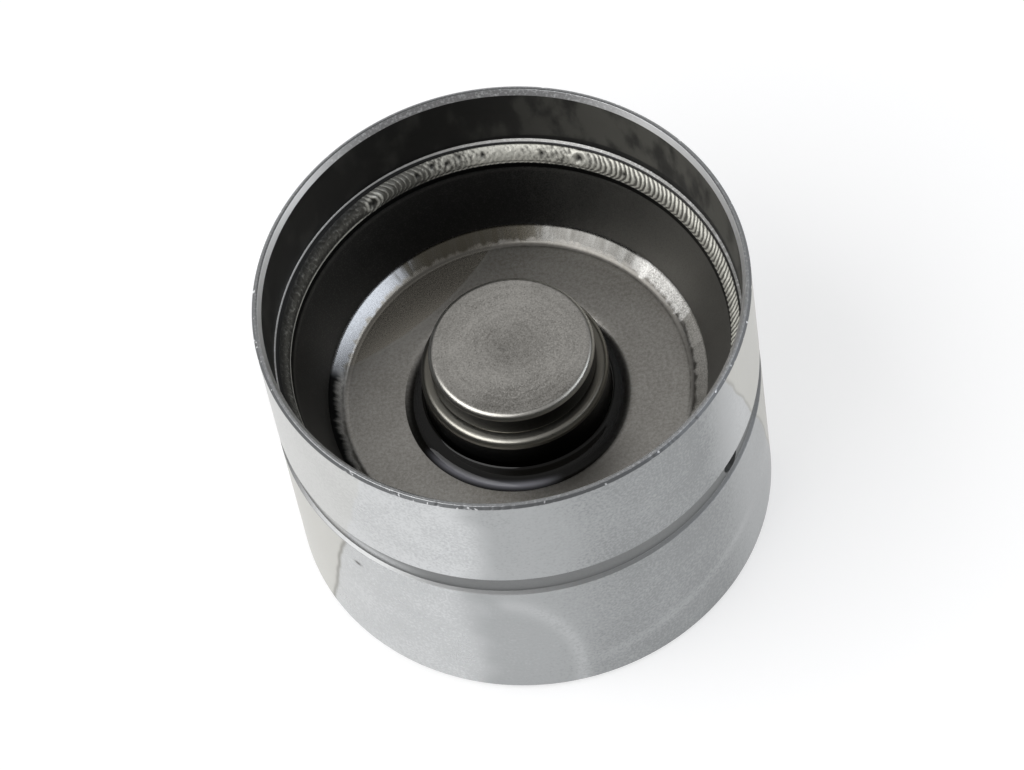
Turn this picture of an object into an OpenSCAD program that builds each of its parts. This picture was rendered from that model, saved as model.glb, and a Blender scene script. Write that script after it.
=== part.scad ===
// Hydraulic bucket tappet for an overhead camshaft, standing on its cam face with the open end up.
// Sizes are in millimetres. Z is the axis of the tappet and the cam face lies at Z = 0.

/* [Bucket housing] */
// Outside diameter of the skirt
body_d = 35; // [33:0.5:38]
// Height from the cam face to the rim
body_h = 26; // [24.5:0.25:29]
// Thickness of the wall that the cam runs on
cam_wall_t = 3.2; // [2.6:0.1:4]
// Chamfer round the cam face
cam_edge = 0.5; // [0.3:0.1:0.8]
// Thickness of the skirt below the step
skirt_t = 1.15; // [1.05:0.05:1.5]
// Radius in the corner between the skirt and the cam wall
inside_corner = 1.2; // [0.6:0.1:2]
// Chamfer on the outside of the rim
rim_out = 0.2; // [0.1:0.05:0.25]
// Width of the chamfer on the inside of the rim
rim_in_w = 0.28; // [0.1:0.02:0.3]
// Height of the chamfer on the inside of the rim
rim_in_h = 0.4; // [0.3:0.1:0.8]
// Depth of the step inside the mouth, from the rim
step_drop = 5.6; // [5:0.1:6.4]
// Width of the step inside the mouth
step_w = 0.34; // [0.2:0.02:0.4]
// How much the mouth opens out between the step and the rim
mouth_flare = 0.15; // [0.08:0.01:0.18]
// Rounding of the lip on the step
lip_round = 0.1; // [0.04:0.01:0.16]

/* [Oil way] */
// Distance from the rim to the middle of the oil groove
groove_drop = 11; // [10:0.25:13]
// Width of the oil groove
groove_w = 2.1; // [1.9:0.1:3]
// Depth of the oil groove
groove_depth = 0.28; // [0.15:0.01:0.4]
// Slope of each side of the groove, along the axis
groove_flank = 0.12; // [0.05:0.01:0.2]
// Diameter of the oil feed hole
feed_d = 1.8; // [1.2:0.1:1.8]
// Direction of the oil feed hole round the axis
feed_angle = -37.2; // [-180:0.2:180]
// Width of the oil transfer slot in the cam wall
slot_w = 2.4; // [1.6:0.1:3]
// Depth of the oil transfer slot
slot_depth = 0.6; // [0.3:0.1:1]

/* [Guide sleeve and weld] */
// Thickness of the drawn sleeve
sheet_t = 1; // [0.7:0.05:1.2]
// Gap between the sleeve and the skirt, under the weld
sleeve_gap = 0.03; // [0.01:0.01:0.06]
// Width of the sleeve's upper edge, which carries the weld
edge_w = 0.57; // [0.4:0.02:0.8]
// Height of the weld bead
weld_h = 1.5; // [1.1:0.1:2]
// Distance from the step down to the top of the weld
weld_drop = 0.2; // [0.2:0.05:0.6]
// How far the weld stands proud of its chord
weld_crown = 0.3; // [0.15:0.05:0.4]
// Height of the conical wall, from the sleeve's floor to its upper edge
cone_h = 5.95; // [5:0.25:7]
// Angle of the conical wall from the axis
cone_angle = 22.3; // [18:0.1:26]
// Radius between the conical wall and the floor
foot_round = 1.45; // [1:0.05:2]
// Radius of the bend from the floor into the guide tube
mouth_round = 1.65; // [1.3:0.05:2]
// Depth of the guide tube below the floor
tube_drop = 5.5; // [4.5:0.25:6]

/* [Hydraulic element] */
// Outside diameter of the inner cylinder
element_d = 13.5; // [12.5:0.25:14.5]
// Running clearance of the inner cylinder in the guide tube, on the radius
guide_gap = 0.03; // [0.02:0.01:0.08]
// Height of the contact face above the sleeve's floor
button_rise = 6; // [5:0.25:7]
// Diameter of the contact button
button_d = 11.9; // [10.5:0.1:12.1]
// Height of the contact button
button_h = 2.3; // [1.6:0.1:3]
// Edge rounding of the contact button
button_edge = 0.5; // [0.2:0.05:0.7]
// Rounding of the shoulder under the button
shoulder_round = 0.55; // [0.2:0.05:0.7]
// Width and depth of the relief at the foot of the button
relief = 0.18; // [0.1:0.02:0.3]
// Thickness of the closed end
crown_t = 3.2; // [2.8:0.1:4]
// Bore of the inner cylinder
cylinder_bore_d = 10.6; // [9.6:0.1:11]
// Wire of the retaining ring
ring_wire = 0.9; // [0.7:0.05:1.1]
// Gap between the retaining ring and the end of the guide tube
ring_gap = 0.05; // [0.03:0.01:0.2]
// Metal between the retaining ring and the open end of the cylinder
ring_land = 0.35; // [0.25:0.05:0.8]
// Opening between the ends of the retaining ring, as an angle
ring_split = 14; // [6:1:30]

/* [Piston and check valve] */
// Running clearance of the piston in the inner cylinder, on the radius
piston_gap = 0.02; // [0.01:0.01:0.05]
// Height of the pressure chamber above the piston
chamber_h = 5.25; // [4.9:0.05:6]
// Bore of the piston, which holds the oil reserve
piston_bore_d = 7.4; // [6:0.2:8]
// Thickness of the piston's crown
piston_crown = 1.7; // [1.4:0.1:2.2]
// Diameter of the check ball
ball_d = 2.5; // [2.3:0.05:2.7]
// Diameter of the passage under the check ball
seat_hole_d = 1.4; // [1:0.1:1.5]
// Diameter of the ball seat where it opens into the crown
seat_mouth_d = 2.6; // [2.4:0.05:2.7]
// Clearance between the resting ball and its seat
seat_gap = 0.02; // [0.01:0.01:0.05]
// Sheet thickness of the valve cap
cap_t = 0.3; // [0.2:0.05:0.4]
// Gap round the ball inside the valve cap
cap_gap = 0.35; // [0.25:0.05:0.6]
// Diameter of the valve cap's flange
flange_d = 8.8; // [8.6:0.1:9.4]
// Diameter of the ports in the valve cap
port_d = 1; // [0.7:0.1:1.2]
// Number of ports round the valve cap
port_count = 3; // [2:1:5]

/* [Springs] */
// Wire of the return spring
return_wire = 0.6; // [0.5:0.05:0.65]
// Mean diameter of the return spring
return_mean_d = 7.6; // [7:0.1:7.8]
// Turns of the return spring
return_turns = 3.5; // [3:0.25:4]
// Wire of the check spring
check_wire = 0.18; // [0.12:0.01:0.2]
// Mean diameter of the check spring
check_mean_d = 1.6; // [1.4:0.05:1.8]
// Length of the check spring on its seated ball
check_length = 1; // [0.9:0.05:1.1]
// Turns of the check spring
check_turns = 3; // [2.5:0.25:3.5]
// Clearance at the ends of both springs
spring_gap = 0.02; // [0.01:0.01:0.05]

/* [Hidden] */

$fn = 96;
// Straight steps in each rounded corner of a turned outline
arc_steps = 8;
// Largest share of an edge that one rounded corner may take
edge_share = 0.49;
// Small edge break on turned and drawn pieces
edge_break = 0.15;
// Extra length of a cutter beyond the metal that it cuts
overcut = 1;
// Sides of a spring wire and its rings in each turn
wire_sides = 8;
rings_per_turn = 20;
// Pitch of a spring's closed end turns, in wire diameters
end_pitch = 1.15;

// Heights, all carried down from the rim
groove_z = body_h - groove_drop;
step_z = body_h - step_drop;
weld_top_z = step_z - weld_drop;
edge_z = weld_top_z - weld_h;
floor_z = edge_z - cone_h;
tube_end_z = floor_z - tube_drop;
button_z = floor_z + button_rise;
shoulder_z = button_z - button_h;
ceiling_z = button_z - crown_t;
ring_z = tube_end_z - ring_gap - ring_wire / 2;
open_z = ring_z - ring_wire / 2 - ring_land;
piston_z = ceiling_z - chamber_h;
crown_under_z = piston_z - piston_crown;

// Radii of the housing and the sleeve
body_r = body_d / 2;
groove_r = body_r - groove_depth;
bore_r = body_r - skirt_t;
step_r = bore_r + step_w;
mouth_r = step_r + mouth_flare;
land_r = bore_r - sleeve_gap;
toe_r = land_r - edge_w;
foot_r = toe_r - cone_h * tan(cone_angle);
wall_across = sheet_t / cos(cone_angle);
under_foot_r = foot_r + wall_across - sheet_t * tan(cone_angle);
land_z = floor_z + (land_r - wall_across - foot_r) / tan(cone_angle);

// Radii of the hydraulic element
element_r = element_d / 2;
guide_r = element_r + guide_gap;
tube_r = guide_r + sheet_t;
button_r = button_d / 2;
cylinder_bore_r = cylinder_bore_d / 2;
piston_r = cylinder_bore_r - piston_gap;
piston_bore_r = piston_bore_d / 2;

// The ball rests on a seat cone of 45 degrees
ball_r = ball_d / 2;
seat_hole_r = seat_hole_d / 2;
seat_mouth_r = seat_mouth_d / 2;
ball_z = piston_z + (ball_r + seat_gap) * sqrt(2) - seat_mouth_r;

// The check spring stands on the ball and pushes against the valve cap
check_mean_r = check_mean_d / 2;
check_touch = ball_r + check_wire / 2 + spring_gap;
check_low_z = ball_z + sqrt(check_touch * check_touch - check_mean_r * check_mean_r) - check_wire / 2;
cap_ceiling_z = check_low_z + check_length + spring_gap;
cap_z = cap_ceiling_z + cap_t;
cap_in_r = ball_r + cap_gap;
cap_out_r = cap_in_r + cap_t;
cap_vent_r = check_mean_r - check_wire;
port_z = ball_z + port_d / 2;

// The return spring stands on the flange of the valve cap
return_low_z = piston_z + cap_t + spring_gap;
return_high_z = ceiling_z - spring_gap;

// Colours of the metals
ground_steel = [0.69, 0.70, 0.70];
drawn_steel = [0.46, 0.45, 0.43];
welded_steel = [0.55, 0.54, 0.53];
turned_steel = [0.62, 0.61, 0.59];
hardened_steel = [0.74, 0.74, 0.75];
spring_steel = [0.38, 0.38, 0.40];

function unit(v) = v / norm(v);

function flat(corner) = [corner[0], corner[1]];

// Arc of a given radius in the corner b between its neighbours a and c, limited by the edges beside it
function corner_arc(a, b, c, radius) =
    let (
        to_a = unit(a - b),
        to_c = unit(c - b),
        half = acos(to_a * to_c) / 2,
        reach = min(radius / tan(half), edge_share * min(norm(a - b), norm(c - b))),
        arc_r = reach * tan(half),
        centre = b + unit(to_a + to_c) * arc_r / sin(half),
        from = b + to_a * reach - centre,
        to = b + to_c * reach - centre,
        start = atan2(from[1], from[0]),
        turn = sign(cross(from, to)) * (180 - 2 * half)
    )
    [for (i = [0 : arc_steps]) centre + arc_r * [cos(start + turn * i / arc_steps), sin(start + turn * i / arc_steps)]];

// Points of a closed outline, from corners that each hold a radius, a height and a rounding
function outline(corners) =
    let (count = len(corners))
    [
        for (i = [0 : count - 1])
            let (
                before = flat(corners[(i + count - 1) % count]),
                here = flat(corners[i]),
                after = flat(corners[(i + 1) % count])
            )
            each corners[i][2] > 0 ? corner_arc(before, here, after, corners[i][2]) : [here]
    ];

module turned(corners) {
    rotate_extrude() polygon(outline(corners));
}

// Height of a spring's wire after some turns, with a closed turn at each end
function coil_rise(turn, turns, rise, wire) =
    let (
        closed = end_pitch * wire,
        open = (rise - 2 * closed) / (turns - 2)
    )
    turn < 1 ? closed * turn
    : turn < turns - 1 ? closed + open * (turn - 1)
    : rise - closed * (turns - turn);

// Helical compression spring whose wire lies between two heights
module coil(low_z, high_z, mean_r, wire, turns) {
    rise = high_z - low_z - wire;
    steps = ceil(turns * rings_per_turn);
    points = [
        for (i = [0 : steps])
            let (
                turn = turns * i / steps,
                middle_z = low_z + wire / 2 + coil_rise(turn, turns, rise, wire)
            )
            for (j = [0 : wire_sides - 1])
                let (
                    around = 360 * j / wire_sides,
                    reach = mean_r + wire / 2 * cos(around)
                )
                [reach * cos(360 * turn), reach * sin(360 * turn), middle_z + wire / 2 * sin(around)]
    ];
    sides = [
        for (i = [0 : steps - 1])
            for (j = [0 : wire_sides - 1])
                let (next = (j + 1) % wire_sides)
                [i * wire_sides + j, (i + 1) * wire_sides + j, (i + 1) * wire_sides + next, i * wire_sides + next]
    ];
    first_end = [for (j = [0 : wire_sides - 1]) j];
    last_end = [for (j = [wire_sides - 1 : -1 : 0]) steps * wire_sides + j];
    polyhedron(points, concat(sides, [first_end, last_end]));
}

// Shallow channel that lets oil pass under the foot of the piston
module transfer_slot() {
    inner_x = piston_bore_r - slot_w;
    outer_x = element_r + slot_w;
    translate([0, 0, cam_wall_t - slot_depth]) {
        translate([inner_x, -slot_w / 2, 0]) cube([outer_x - inner_x, slot_w, slot_depth + overcut]);
        for (end_x = [inner_x, outer_x])
            translate([end_x, 0, 0]) cylinder(d = slot_w, h = slot_depth + overcut);
    }
}

module feed_hole() {
    rotate([0, 0, feed_angle])
        translate([bore_r - overcut, 0, groove_z])
            rotate([0, 90, 0]) cylinder(d = feed_d, h = skirt_t + 2 * overcut);
}

// Cup that the cam pushes: cam wall, ground skirt with its oil groove, and the stepped mouth
module bucket_housing() {
    color(ground_steel)
    difference() {
        turned([
            [0, 0, 0],
            [body_r - cam_edge, 0, 0],
            [body_r, cam_edge, 0],
            [body_r, groove_z - groove_w / 2, 0],
            [groove_r, groove_z - groove_w / 2 + groove_flank, 0],
            [groove_r, groove_z + groove_w / 2 - groove_flank, 0],
            [body_r, groove_z + groove_w / 2, 0],
            [body_r, body_h - rim_out, 0],
            [body_r - rim_out, body_h, 0],
            [mouth_r + rim_in_w, body_h, 0],
            [mouth_r, body_h - rim_in_h, 0],
            [step_r, step_z, 0],
            [bore_r, step_z, lip_round],
            [bore_r, cam_wall_t, inside_corner],
            [0, cam_wall_t, 0]
        ]);
        feed_hole();
        transfer_slot();
    }
}

// Drawn partition with a conical wall, a flat floor and a guide tube that is bent down from it
module guide_sleeve() {
    color(drawn_steel)
    turned([
        [land_r, edge_z, 0],
        [toe_r, edge_z, 0],
        [foot_r, floor_z, foot_round],
        [guide_r, floor_z, mouth_round],
        [guide_r, tube_end_z, edge_break],
        [tube_r, tube_end_z, edge_break],
        [tube_r, floor_z - sheet_t, mouth_round - sheet_t],
        [under_foot_r, floor_z - sheet_t, foot_round + sheet_t],
        [land_r, land_z, edge_break]
    ]);
}

// Bead that lies on the sleeve's upper edge and closes it against the skirt
module weld_bead() {
    toe = [toe_r, edge_z];
    top = [bore_r, weld_top_z];
    chord = top - toe;
    crown = (toe + top) / 2 + 2 * weld_crown * unit([-chord[1], chord[0]]);
    color(welded_steel)
    turned([
        [bore_r, edge_z, 0],
        [bore_r, weld_top_z, 0],
        [crown[0], crown[1], norm(chord)],
        [toe_r, edge_z, 0]
    ]);
}

// Cylinder with a closed, stepped end that presses on the valve stem
module inner_cylinder() {
    color(turned_steel)
    difference() {
        turned([
            [cylinder_bore_r, open_z, edge_break],
            [element_r, open_z, edge_break],
            [element_r, shoulder_z, shoulder_round],
            [button_r - relief, shoulder_z, 0],
            [button_r - relief, shoulder_z + relief, 0],
            [button_r, shoulder_z + 2 * relief, 0],
            [button_r, button_z, button_edge],
            [0, button_z, 0],
            [0, ceiling_z, 0],
            [cylinder_bore_r, ceiling_z, edge_break]
        ]);
        translate([0, 0, ring_z])
            rotate_extrude() translate([element_r, 0]) circle(d = ring_wire + 2 * guide_gap);
    }
}

// Split wire ring that stops the inner cylinder at the end of the guide tube
module retaining_ring() {
    color(spring_steel)
    translate([0, 0, ring_z])
        rotate([0, 0, ring_split / 2])
            rotate_extrude(angle = 360 - ring_split) translate([element_r, 0]) circle(d = ring_wire);
}

// Hollow piston that stands on the cam wall, with the ball seat in its crown
module piston() {
    color(turned_steel)
    turned([
        [piston_bore_r, cam_wall_t, edge_break],
        [piston_r, cam_wall_t, edge_break],
        [piston_r, piston_z, edge_break],
        [seat_mouth_r, piston_z, 0],
        [seat_hole_r, piston_z - seat_mouth_r + seat_hole_r, 0],
        [seat_hole_r, crown_under_z, 0],
        [piston_bore_r, crown_under_z, edge_break]
    ]);
}

// Pressed cap that keeps the check ball and its spring over the seat
module valve_cap() {
    color(drawn_steel)
    difference() {
        turned([
            [cap_in_r, piston_z, 0],
            [flange_d / 2, piston_z, 0],
            [flange_d / 2, piston_z + cap_t, 0],
            [cap_out_r, piston_z + cap_t, edge_break],
            [cap_out_r, cap_z, cap_t],
            [cap_vent_r, cap_z, 0],
            [cap_vent_r, cap_ceiling_z, 0],
            [cap_in_r, cap_ceiling_z, 0]
        ]);
        for (i = [0 : port_count - 1])
            rotate([0, 0, 360 * i / port_count])
                translate([0, 0, port_z])
                    rotate([0, 90, 0]) cylinder(d = port_d, h = cap_out_r + overcut);
    }
}

module check_ball() {
    color(hardened_steel)
    translate([0, 0, ball_z]) sphere(d = ball_d);
}

module check_spring() {
    color(spring_steel)
    coil(check_low_z, check_low_z + check_length, check_mean_r, check_wire, check_turns);
}

module return_spring() {
    color(spring_steel)
    coil(return_low_z, return_high_z, return_mean_d / 2, return_wire, return_turns);
}

bucket_housing();
guide_sleeve();
weld_bead();
inner_cylinder();
retaining_ring();
piston();
valve_cap();
check_ball();
check_spring();
return_spring();
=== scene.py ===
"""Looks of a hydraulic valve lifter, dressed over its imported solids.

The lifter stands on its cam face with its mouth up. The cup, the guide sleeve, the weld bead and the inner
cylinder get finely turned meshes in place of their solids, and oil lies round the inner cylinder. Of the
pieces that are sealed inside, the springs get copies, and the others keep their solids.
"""

import logging
import math
from dataclasses import dataclass, field
from enum import Enum

import bmesh
import bpy
import numpy as np
from mathutils import Matrix, Vector


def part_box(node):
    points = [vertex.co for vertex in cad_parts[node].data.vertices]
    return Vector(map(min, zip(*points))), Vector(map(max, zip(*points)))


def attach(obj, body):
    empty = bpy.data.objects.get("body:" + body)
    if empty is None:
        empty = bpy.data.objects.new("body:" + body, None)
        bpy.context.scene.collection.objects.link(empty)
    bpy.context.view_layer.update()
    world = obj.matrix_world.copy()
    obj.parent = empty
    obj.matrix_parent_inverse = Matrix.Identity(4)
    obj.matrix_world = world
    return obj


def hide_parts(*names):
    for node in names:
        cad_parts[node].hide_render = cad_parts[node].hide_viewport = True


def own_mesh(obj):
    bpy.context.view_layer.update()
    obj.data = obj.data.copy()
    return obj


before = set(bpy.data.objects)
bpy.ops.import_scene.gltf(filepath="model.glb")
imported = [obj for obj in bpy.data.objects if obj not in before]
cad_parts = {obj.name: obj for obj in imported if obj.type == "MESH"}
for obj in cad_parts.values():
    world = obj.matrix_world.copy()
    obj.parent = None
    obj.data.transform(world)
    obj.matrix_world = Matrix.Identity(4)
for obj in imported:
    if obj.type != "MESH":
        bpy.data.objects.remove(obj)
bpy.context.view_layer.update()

LOG = logging.getLogger("valve_lifter")
MM = 0.001
DEG = math.pi / 180
FULL_TURN = 2 * math.pi
HALF = 0.5
TINY = 1e-9
HAIR = 0.03 * MM
FINE = 0.04 * MM
GAP = 0.02 * MM
RETURN_TRAVEL = 2.2 * MM
CHECK_TRAVEL = 0.25 * MM

Piece = bpy.types.Object
Colour = tuple[float, float, float]
Point = tuple[float, float]
# A mask's rise: its middle and its width. A hump is the same for a soft bump.
Edge = tuple[float, float]
Hump = tuple[float, float]
# A mask's two edges and their softness.
Span = tuple[float, float, float]
# A noise's size and how many finer layers it has. Streaks also have a count round the axis.
Grain = tuple[float, float]
Streaks = tuple[float, float, float]
# A base and one weight for each pattern that is added to it.
Weights = tuple[float, ...]


class Body(Enum):
    """Moving bodies of the lifter that carry pieces."""

    BUCKET = "bucket"
    PISTON = "piston"
    CYLINDER = "cylinder"


class Slot(Enum):
    """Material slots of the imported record."""

    SKIRT = "ground_skirt"
    SLEEVE = "drawn_sleeve"
    WELD = "weld_metal"
    ELEMENT = "turned_element"
    WIRE = "spring_wire"


class Value:
    """An output socket of a node tree; arithmetic on it adds Math nodes."""

    def __init__(self, net: "Net", socket: bpy.types.NodeSocket) -> None:
        """Keeps the tree and one of its output sockets."""
        self.net = net
        self.socket = socket

    def __add__(self, other: "Operand") -> "Value":
        """Gives the sum."""
        return self.net.math("ADD", self, other)

    def __sub__(self, other: "Operand") -> "Value":
        """Gives the difference."""
        return self.net.math("SUBTRACT", self, other)

    def __rsub__(self, other: "Operand") -> "Value":
        """Gives the difference from a number."""
        return self.net.math("SUBTRACT", other, self)

    def __mul__(self, other: "Operand") -> "Value":
        """Gives the product."""
        return self.net.math("MULTIPLY", self, other)

    def __truediv__(self, other: "Operand") -> "Value":
        """Gives the quotient."""
        return self.net.math("DIVIDE", self, other)

    def __abs__(self) -> "Value":
        """Gives the size without the sign."""
        return self.net.math("ABSOLUTE", self)

    def __neg__(self) -> "Value":
        """Gives the opposite."""
        return self.net.math("MULTIPLY", self, -1.0)

    __radd__ = __add__
    __rmul__ = __mul__


Operand = Value | float


class Net:
    """A shader or geometry tree that is written as expressions."""

    def __init__(self, tree: bpy.types.NodeTree) -> None:
        """Keeps the empty tree to fill."""
        self.tree = tree

    def node(self, kind: str, settings: dict | None = None, sockets: dict | None = None) -> bpy.types.Node:
        """Adds one node.

        Args:
            kind: Blender's name for the type of node.
            settings: properties, set first; "stops" holds a ramp's places and colours.
            sockets: numbers, colours or links, by the socket's identifier, name or index.

        Returns:
            The new node.
        """
        node = self.tree.nodes.new(kind)
        for name, value in (settings or {}).items():
            if name == "stops":
                self._set_stops(node.color_ramp, value)
            else:
                setattr(node, name, value)
        for key, value in (sockets or {}).items():
            self._put(self._find(node.inputs, key), value)
        return node

    def out(self, node: bpy.types.Node, key: str | int = 0) -> Value:
        """Gives one of a node's outputs as a value."""
        return Value(self, self._find(node.outputs, key))

    def result(self, kind: str, **sockets: object) -> Value:
        """Adds a node whose inputs are named by words and gives its first output."""
        named = {key.replace("_", " "): value for key, value in sockets.items()}
        return self.out(self.node(kind, sockets=named))

    def math(self, operation: str, *operands: Operand) -> Value:
        """Adds a Math node and gives its result."""
        return self.out(self.node("ShaderNodeMath", {"operation": operation}, dict(enumerate(operands))))

    def hypot(self, first: Value, second: Value) -> Value:
        """Gives the length of the long side of a right-angled triangle."""
        return self.math("SQRT", first * first + second * second)

    def split(self, vector: Value) -> tuple[Value, Value, Value]:
        """Gives a vector's three parts."""
        parts = self.node("ShaderNodeSeparateXYZ", sockets={0: vector})
        return self.out(parts, 0), self.out(parts, 1), self.out(parts, 2)

    def join(self, x: Operand, y: Operand, z: Operand) -> Value:
        """Makes a vector of three values."""
        return self.result("ShaderNodeCombineXYZ", X=x, Y=y, Z=z)

    def noise(self, place: Value, scale: float = 1.0, detail: float = 2.0) -> Value:
        """Gives a noise pattern with values round zero.

        Args:
            place: coordinates to read it at.
            scale: how often it changes in one unit of them.
            detail: how many finer layers it has.

        Returns:
            The pattern.
        """
        return self.result("ShaderNodeTexNoise", Vector=place, Scale=scale, Detail=detail) - HALF

    def step(self, value: Value, edge: Operand, width: float) -> Value:
        """Rises smoothly from 0 to 1 across an edge.

        Args:
            value: value that passes the edge.
            edge: middle of the rise.
            width: how wide the rise is.

        Returns:
            A mask.
        """
        sockets = {"Value": value, "From Min": edge - width / 2, "From Max": edge + width / 2}
        return self.out(self.node("ShaderNodeMapRange", {"interpolation_type": "SMOOTHSTEP"}, sockets))

    def band(self, value: Value, low: Operand, high: Operand, width: float) -> Value:
        """Gives a mask that is 1 between two edges."""
        return self.step(value, low, width) * (1 - self.step(value, high, width))

    def bell(self, value: Value, middle: Operand, width: float) -> Value:
        """Gives a soft bump of height 1 round a middle."""
        away = (value - middle) / width
        return self.math("EXPONENT", -(away * away))

    def weigh(self, weights: Weights, *patterns: Operand) -> Operand:
        """Adds patterns up.

        Args:
            weights: a base, then one weight for each pattern.
            patterns: the patterns.

        Returns:
            The weighted sum.
        """
        total: Operand = weights[0]
        for weight, pattern in zip(weights[1:], patterns, strict=True):
            total = pattern * weight + total
        return total

    def blend(self, factor: Operand, first: "Value | Colour", second: "Value | Colour") -> Value:
        """Mixes two colours.

        Args:
            factor: 0 for the first, 1 for the second.
            first: a colour.
            second: another colour.

        Returns:
            The mixed colour.
        """
        sockets = {"Factor_Float": factor, "A_Color": first, "B_Color": second}
        return self.out(self.node("ShaderNodeMix", {"data_type": "RGBA"}, sockets), "Result_Color")

    def _put(self, socket: bpy.types.NodeSocket, value: object) -> None:
        """Links a value to an input, or sets it there.

        Args:
            socket: the input.
            value: an output to link, or a number, colour or text.
        """
        if isinstance(value, Value):
            self.tree.links.new(value.socket, socket)
        else:
            socket.default_value = (*value, 1.0) if socket.type == "RGBA" else value

    @staticmethod
    def _find(sockets: bpy.types.NodeInputs, key: str | int) -> bpy.types.NodeSocket:
        """Finds a socket by its index, identifier or name."""
        same = [] if isinstance(key, int) else [socket for socket in sockets if socket.identifier == key]
        return same[0] if same else sockets[key]

    @staticmethod
    def _set_stops(ramp: bpy.types.ColorRamp, stops: list[tuple[float, Colour]]) -> None:
        """Gives a colour ramp its stops.

        Args:
            ramp: the ramp.
            stops: places and colours in order.
        """
        while len(ramp.elements) < len(stops):
            ramp.elements.new(1.0)
        for element, (position, colour) in zip(ramp.elements, stops):
            element.position = position
            element.color = (*colour, 1.0)


class Surface(Net):
    """A material's tree, with the lifter's own coordinates at hand."""

    def __init__(self, tree: bpy.types.NodeTree) -> None:
        """Reads the place, the height, the distance from the axis and the turn from the front.

        Args:
            tree: the material's empty tree.
        """
        super().__init__(tree)
        self.place = self.out(self.node("ShaderNodeTexCoord"), "Object")
        self.x, self.y, self.z = self.split(self.place)
        self.r = self.hypot(self.x, self.y)
        self.turn = self.math("ARCTAN2", self.x, -self.y)
        length = self.math("MAXIMUM", self.r, TINY)
        self.east = self.x / length
        self.north = self.y / length

    def wrapped(self, along: Value, size: float, count: float, detail: float) -> Value:
        """Gives a noise of rings round the axis, or of spokes away from it.

        Args:
            along: distance across the rings or along the spokes.
            size: size of the pattern in that direction.
            count: how fine it is round the axis; low for rings, high for spokes.
            detail: how many finer layers it has.

        Returns:
            A pattern with values round zero.
        """
        return self.noise(self.join(self.east * count, self.north * count, along / size), detail=detail)

    def grain(self, size: float, detail: float) -> Value:
        """Gives an even grain of about that size, with values round zero."""
        return self.noise(self.place, 1 / size, detail)

    def spot(self, turn: Hump, height: Hump) -> Value:
        """Gives a small soft spot on the skirt."""
        return self.bell(self.turn, *turn) * self.bell(self.z, *height)

    def bump(self, height: Value, depth: float) -> Value:
        """Turns a height pattern into normals, for a depth in metres."""
        return self.result("ShaderNodeBump", Height=height, Distance=depth)

    def close(self, sockets: dict, over: dict | None = None, share: Operand = 0.0) -> None:
        """Ends the tree in one Principled shader, or in a mix of two.

        Args:
            sockets: inputs of the shader.
            over: inputs of a second shader, if any.
            share: how much of the second one shows.
        """
        shader = self.out(self.node("ShaderNodeBsdfPrincipled", sockets=sockets))
        if over:
            second = self.out(self.node("ShaderNodeBsdfPrincipled", sockets=over))
            shader = self.out(self.node("ShaderNodeMixShader", sockets={0: share, 1: shader, 2: second}))
        self.node("ShaderNodeOutputMaterial", sockets={"Surface": shader})


@dataclass(frozen=True)
class Sizes:
    """Main sizes of the lifter in metres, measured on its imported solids."""

    body_r: float
    body_h: float
    bore_r: float
    land_r: float
    edge_z: float
    weld_top_z: float
    tube_end_z: float
    element_r: float
    open_z: float
    button_z: float

    @classmethod
    def from_frame(cls) -> "Sizes":
        """Measures the four pieces that show.

        Returns:
            Their sizes.
        """
        low_weld, high_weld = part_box("weld_bead")
        low_sleeve, high_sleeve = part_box("guide_sleeve")
        low_element, high_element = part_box("inner_cylinder")
        high_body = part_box("bucket_housing")[1]
        return cls(high_body.x, high_body.z, high_weld.x, high_sleeve.x, low_weld.z, high_weld.z,
                   low_sleeve.z, high_element.x, low_element.z, high_element.z)


@dataclass(frozen=True)
class Corner:
    """A corner of a turned profile: distance from the axis, height and rounding."""

    r: float
    z: float
    rounding: float = 0.0


@dataclass(frozen=True)
class Profile:
    """A closed outline that is turned round the axis."""

    corners: list[Corner]
    arc_steps: int = 12
    edge_share: float = 0.49
    support: float = 0.03 * MM

    def points(self) -> list[Point]:
        """Gives the outline with its corners rounded.

        Returns:
            Points in order; each rounding is an arc between two support points.
        """
        points: list[Point] = []
        count = len(self.corners)
        for i, corner in enumerate(self.corners):
            before = self.corners[i - 1]
            after = self.corners[(i + 1) % count]
            points += self._arc(before, corner, after) if corner.rounding else [(corner.r, corner.z)]
        return points

    def _arc(self, before: Corner, corner: Corner, after: Corner) -> list[Point]:
        """Rounds one corner.

        Args:
            before: the corner before it.
            corner: the corner to round.
            after: the corner after it.

        Returns:
            Points of its arc, with a support point on each side where there is room.
        """
        here = Vector((corner.r, corner.z))
        back = Vector((before.r, before.z)) - here
        ahead = Vector((after.r, after.z)) - here
        half = back.angle(ahead) / 2
        room = self.edge_share * min(back.length, ahead.length)
        reach = min(corner.rounding / math.tan(half), room)
        radius = reach * math.tan(half)
        start = here + back.normalized() * reach
        centre = here + (back.normalized() + ahead.normalized()).normalized() * (radius / math.sin(half))
        first = start - centre
        sweep = first.angle_signed(here + ahead.normalized() * reach - centre)
        steps = range(self.arc_steps + 1)
        arc = [centre + Matrix.Rotation(-sweep * k / self.arc_steps, 2) @ first for k in steps]
        if reach + self.support < room:
            arc.insert(0, start + back.normalized() * self.support)
            arc.append(here + ahead.normalized() * (reach + self.support))
        return [(point.x, point.y) for point in arc]


def add(name: str, data: bpy.types.ID) -> Piece:
    """Links a new object to the scene.

    Args:
        name: its name.
        data: its mesh, light or camera.

    Returns:
        The new object.
    """
    piece = bpy.data.objects.new(name, data)
    bpy.context.scene.collection.objects.link(piece)
    return piece


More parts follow.
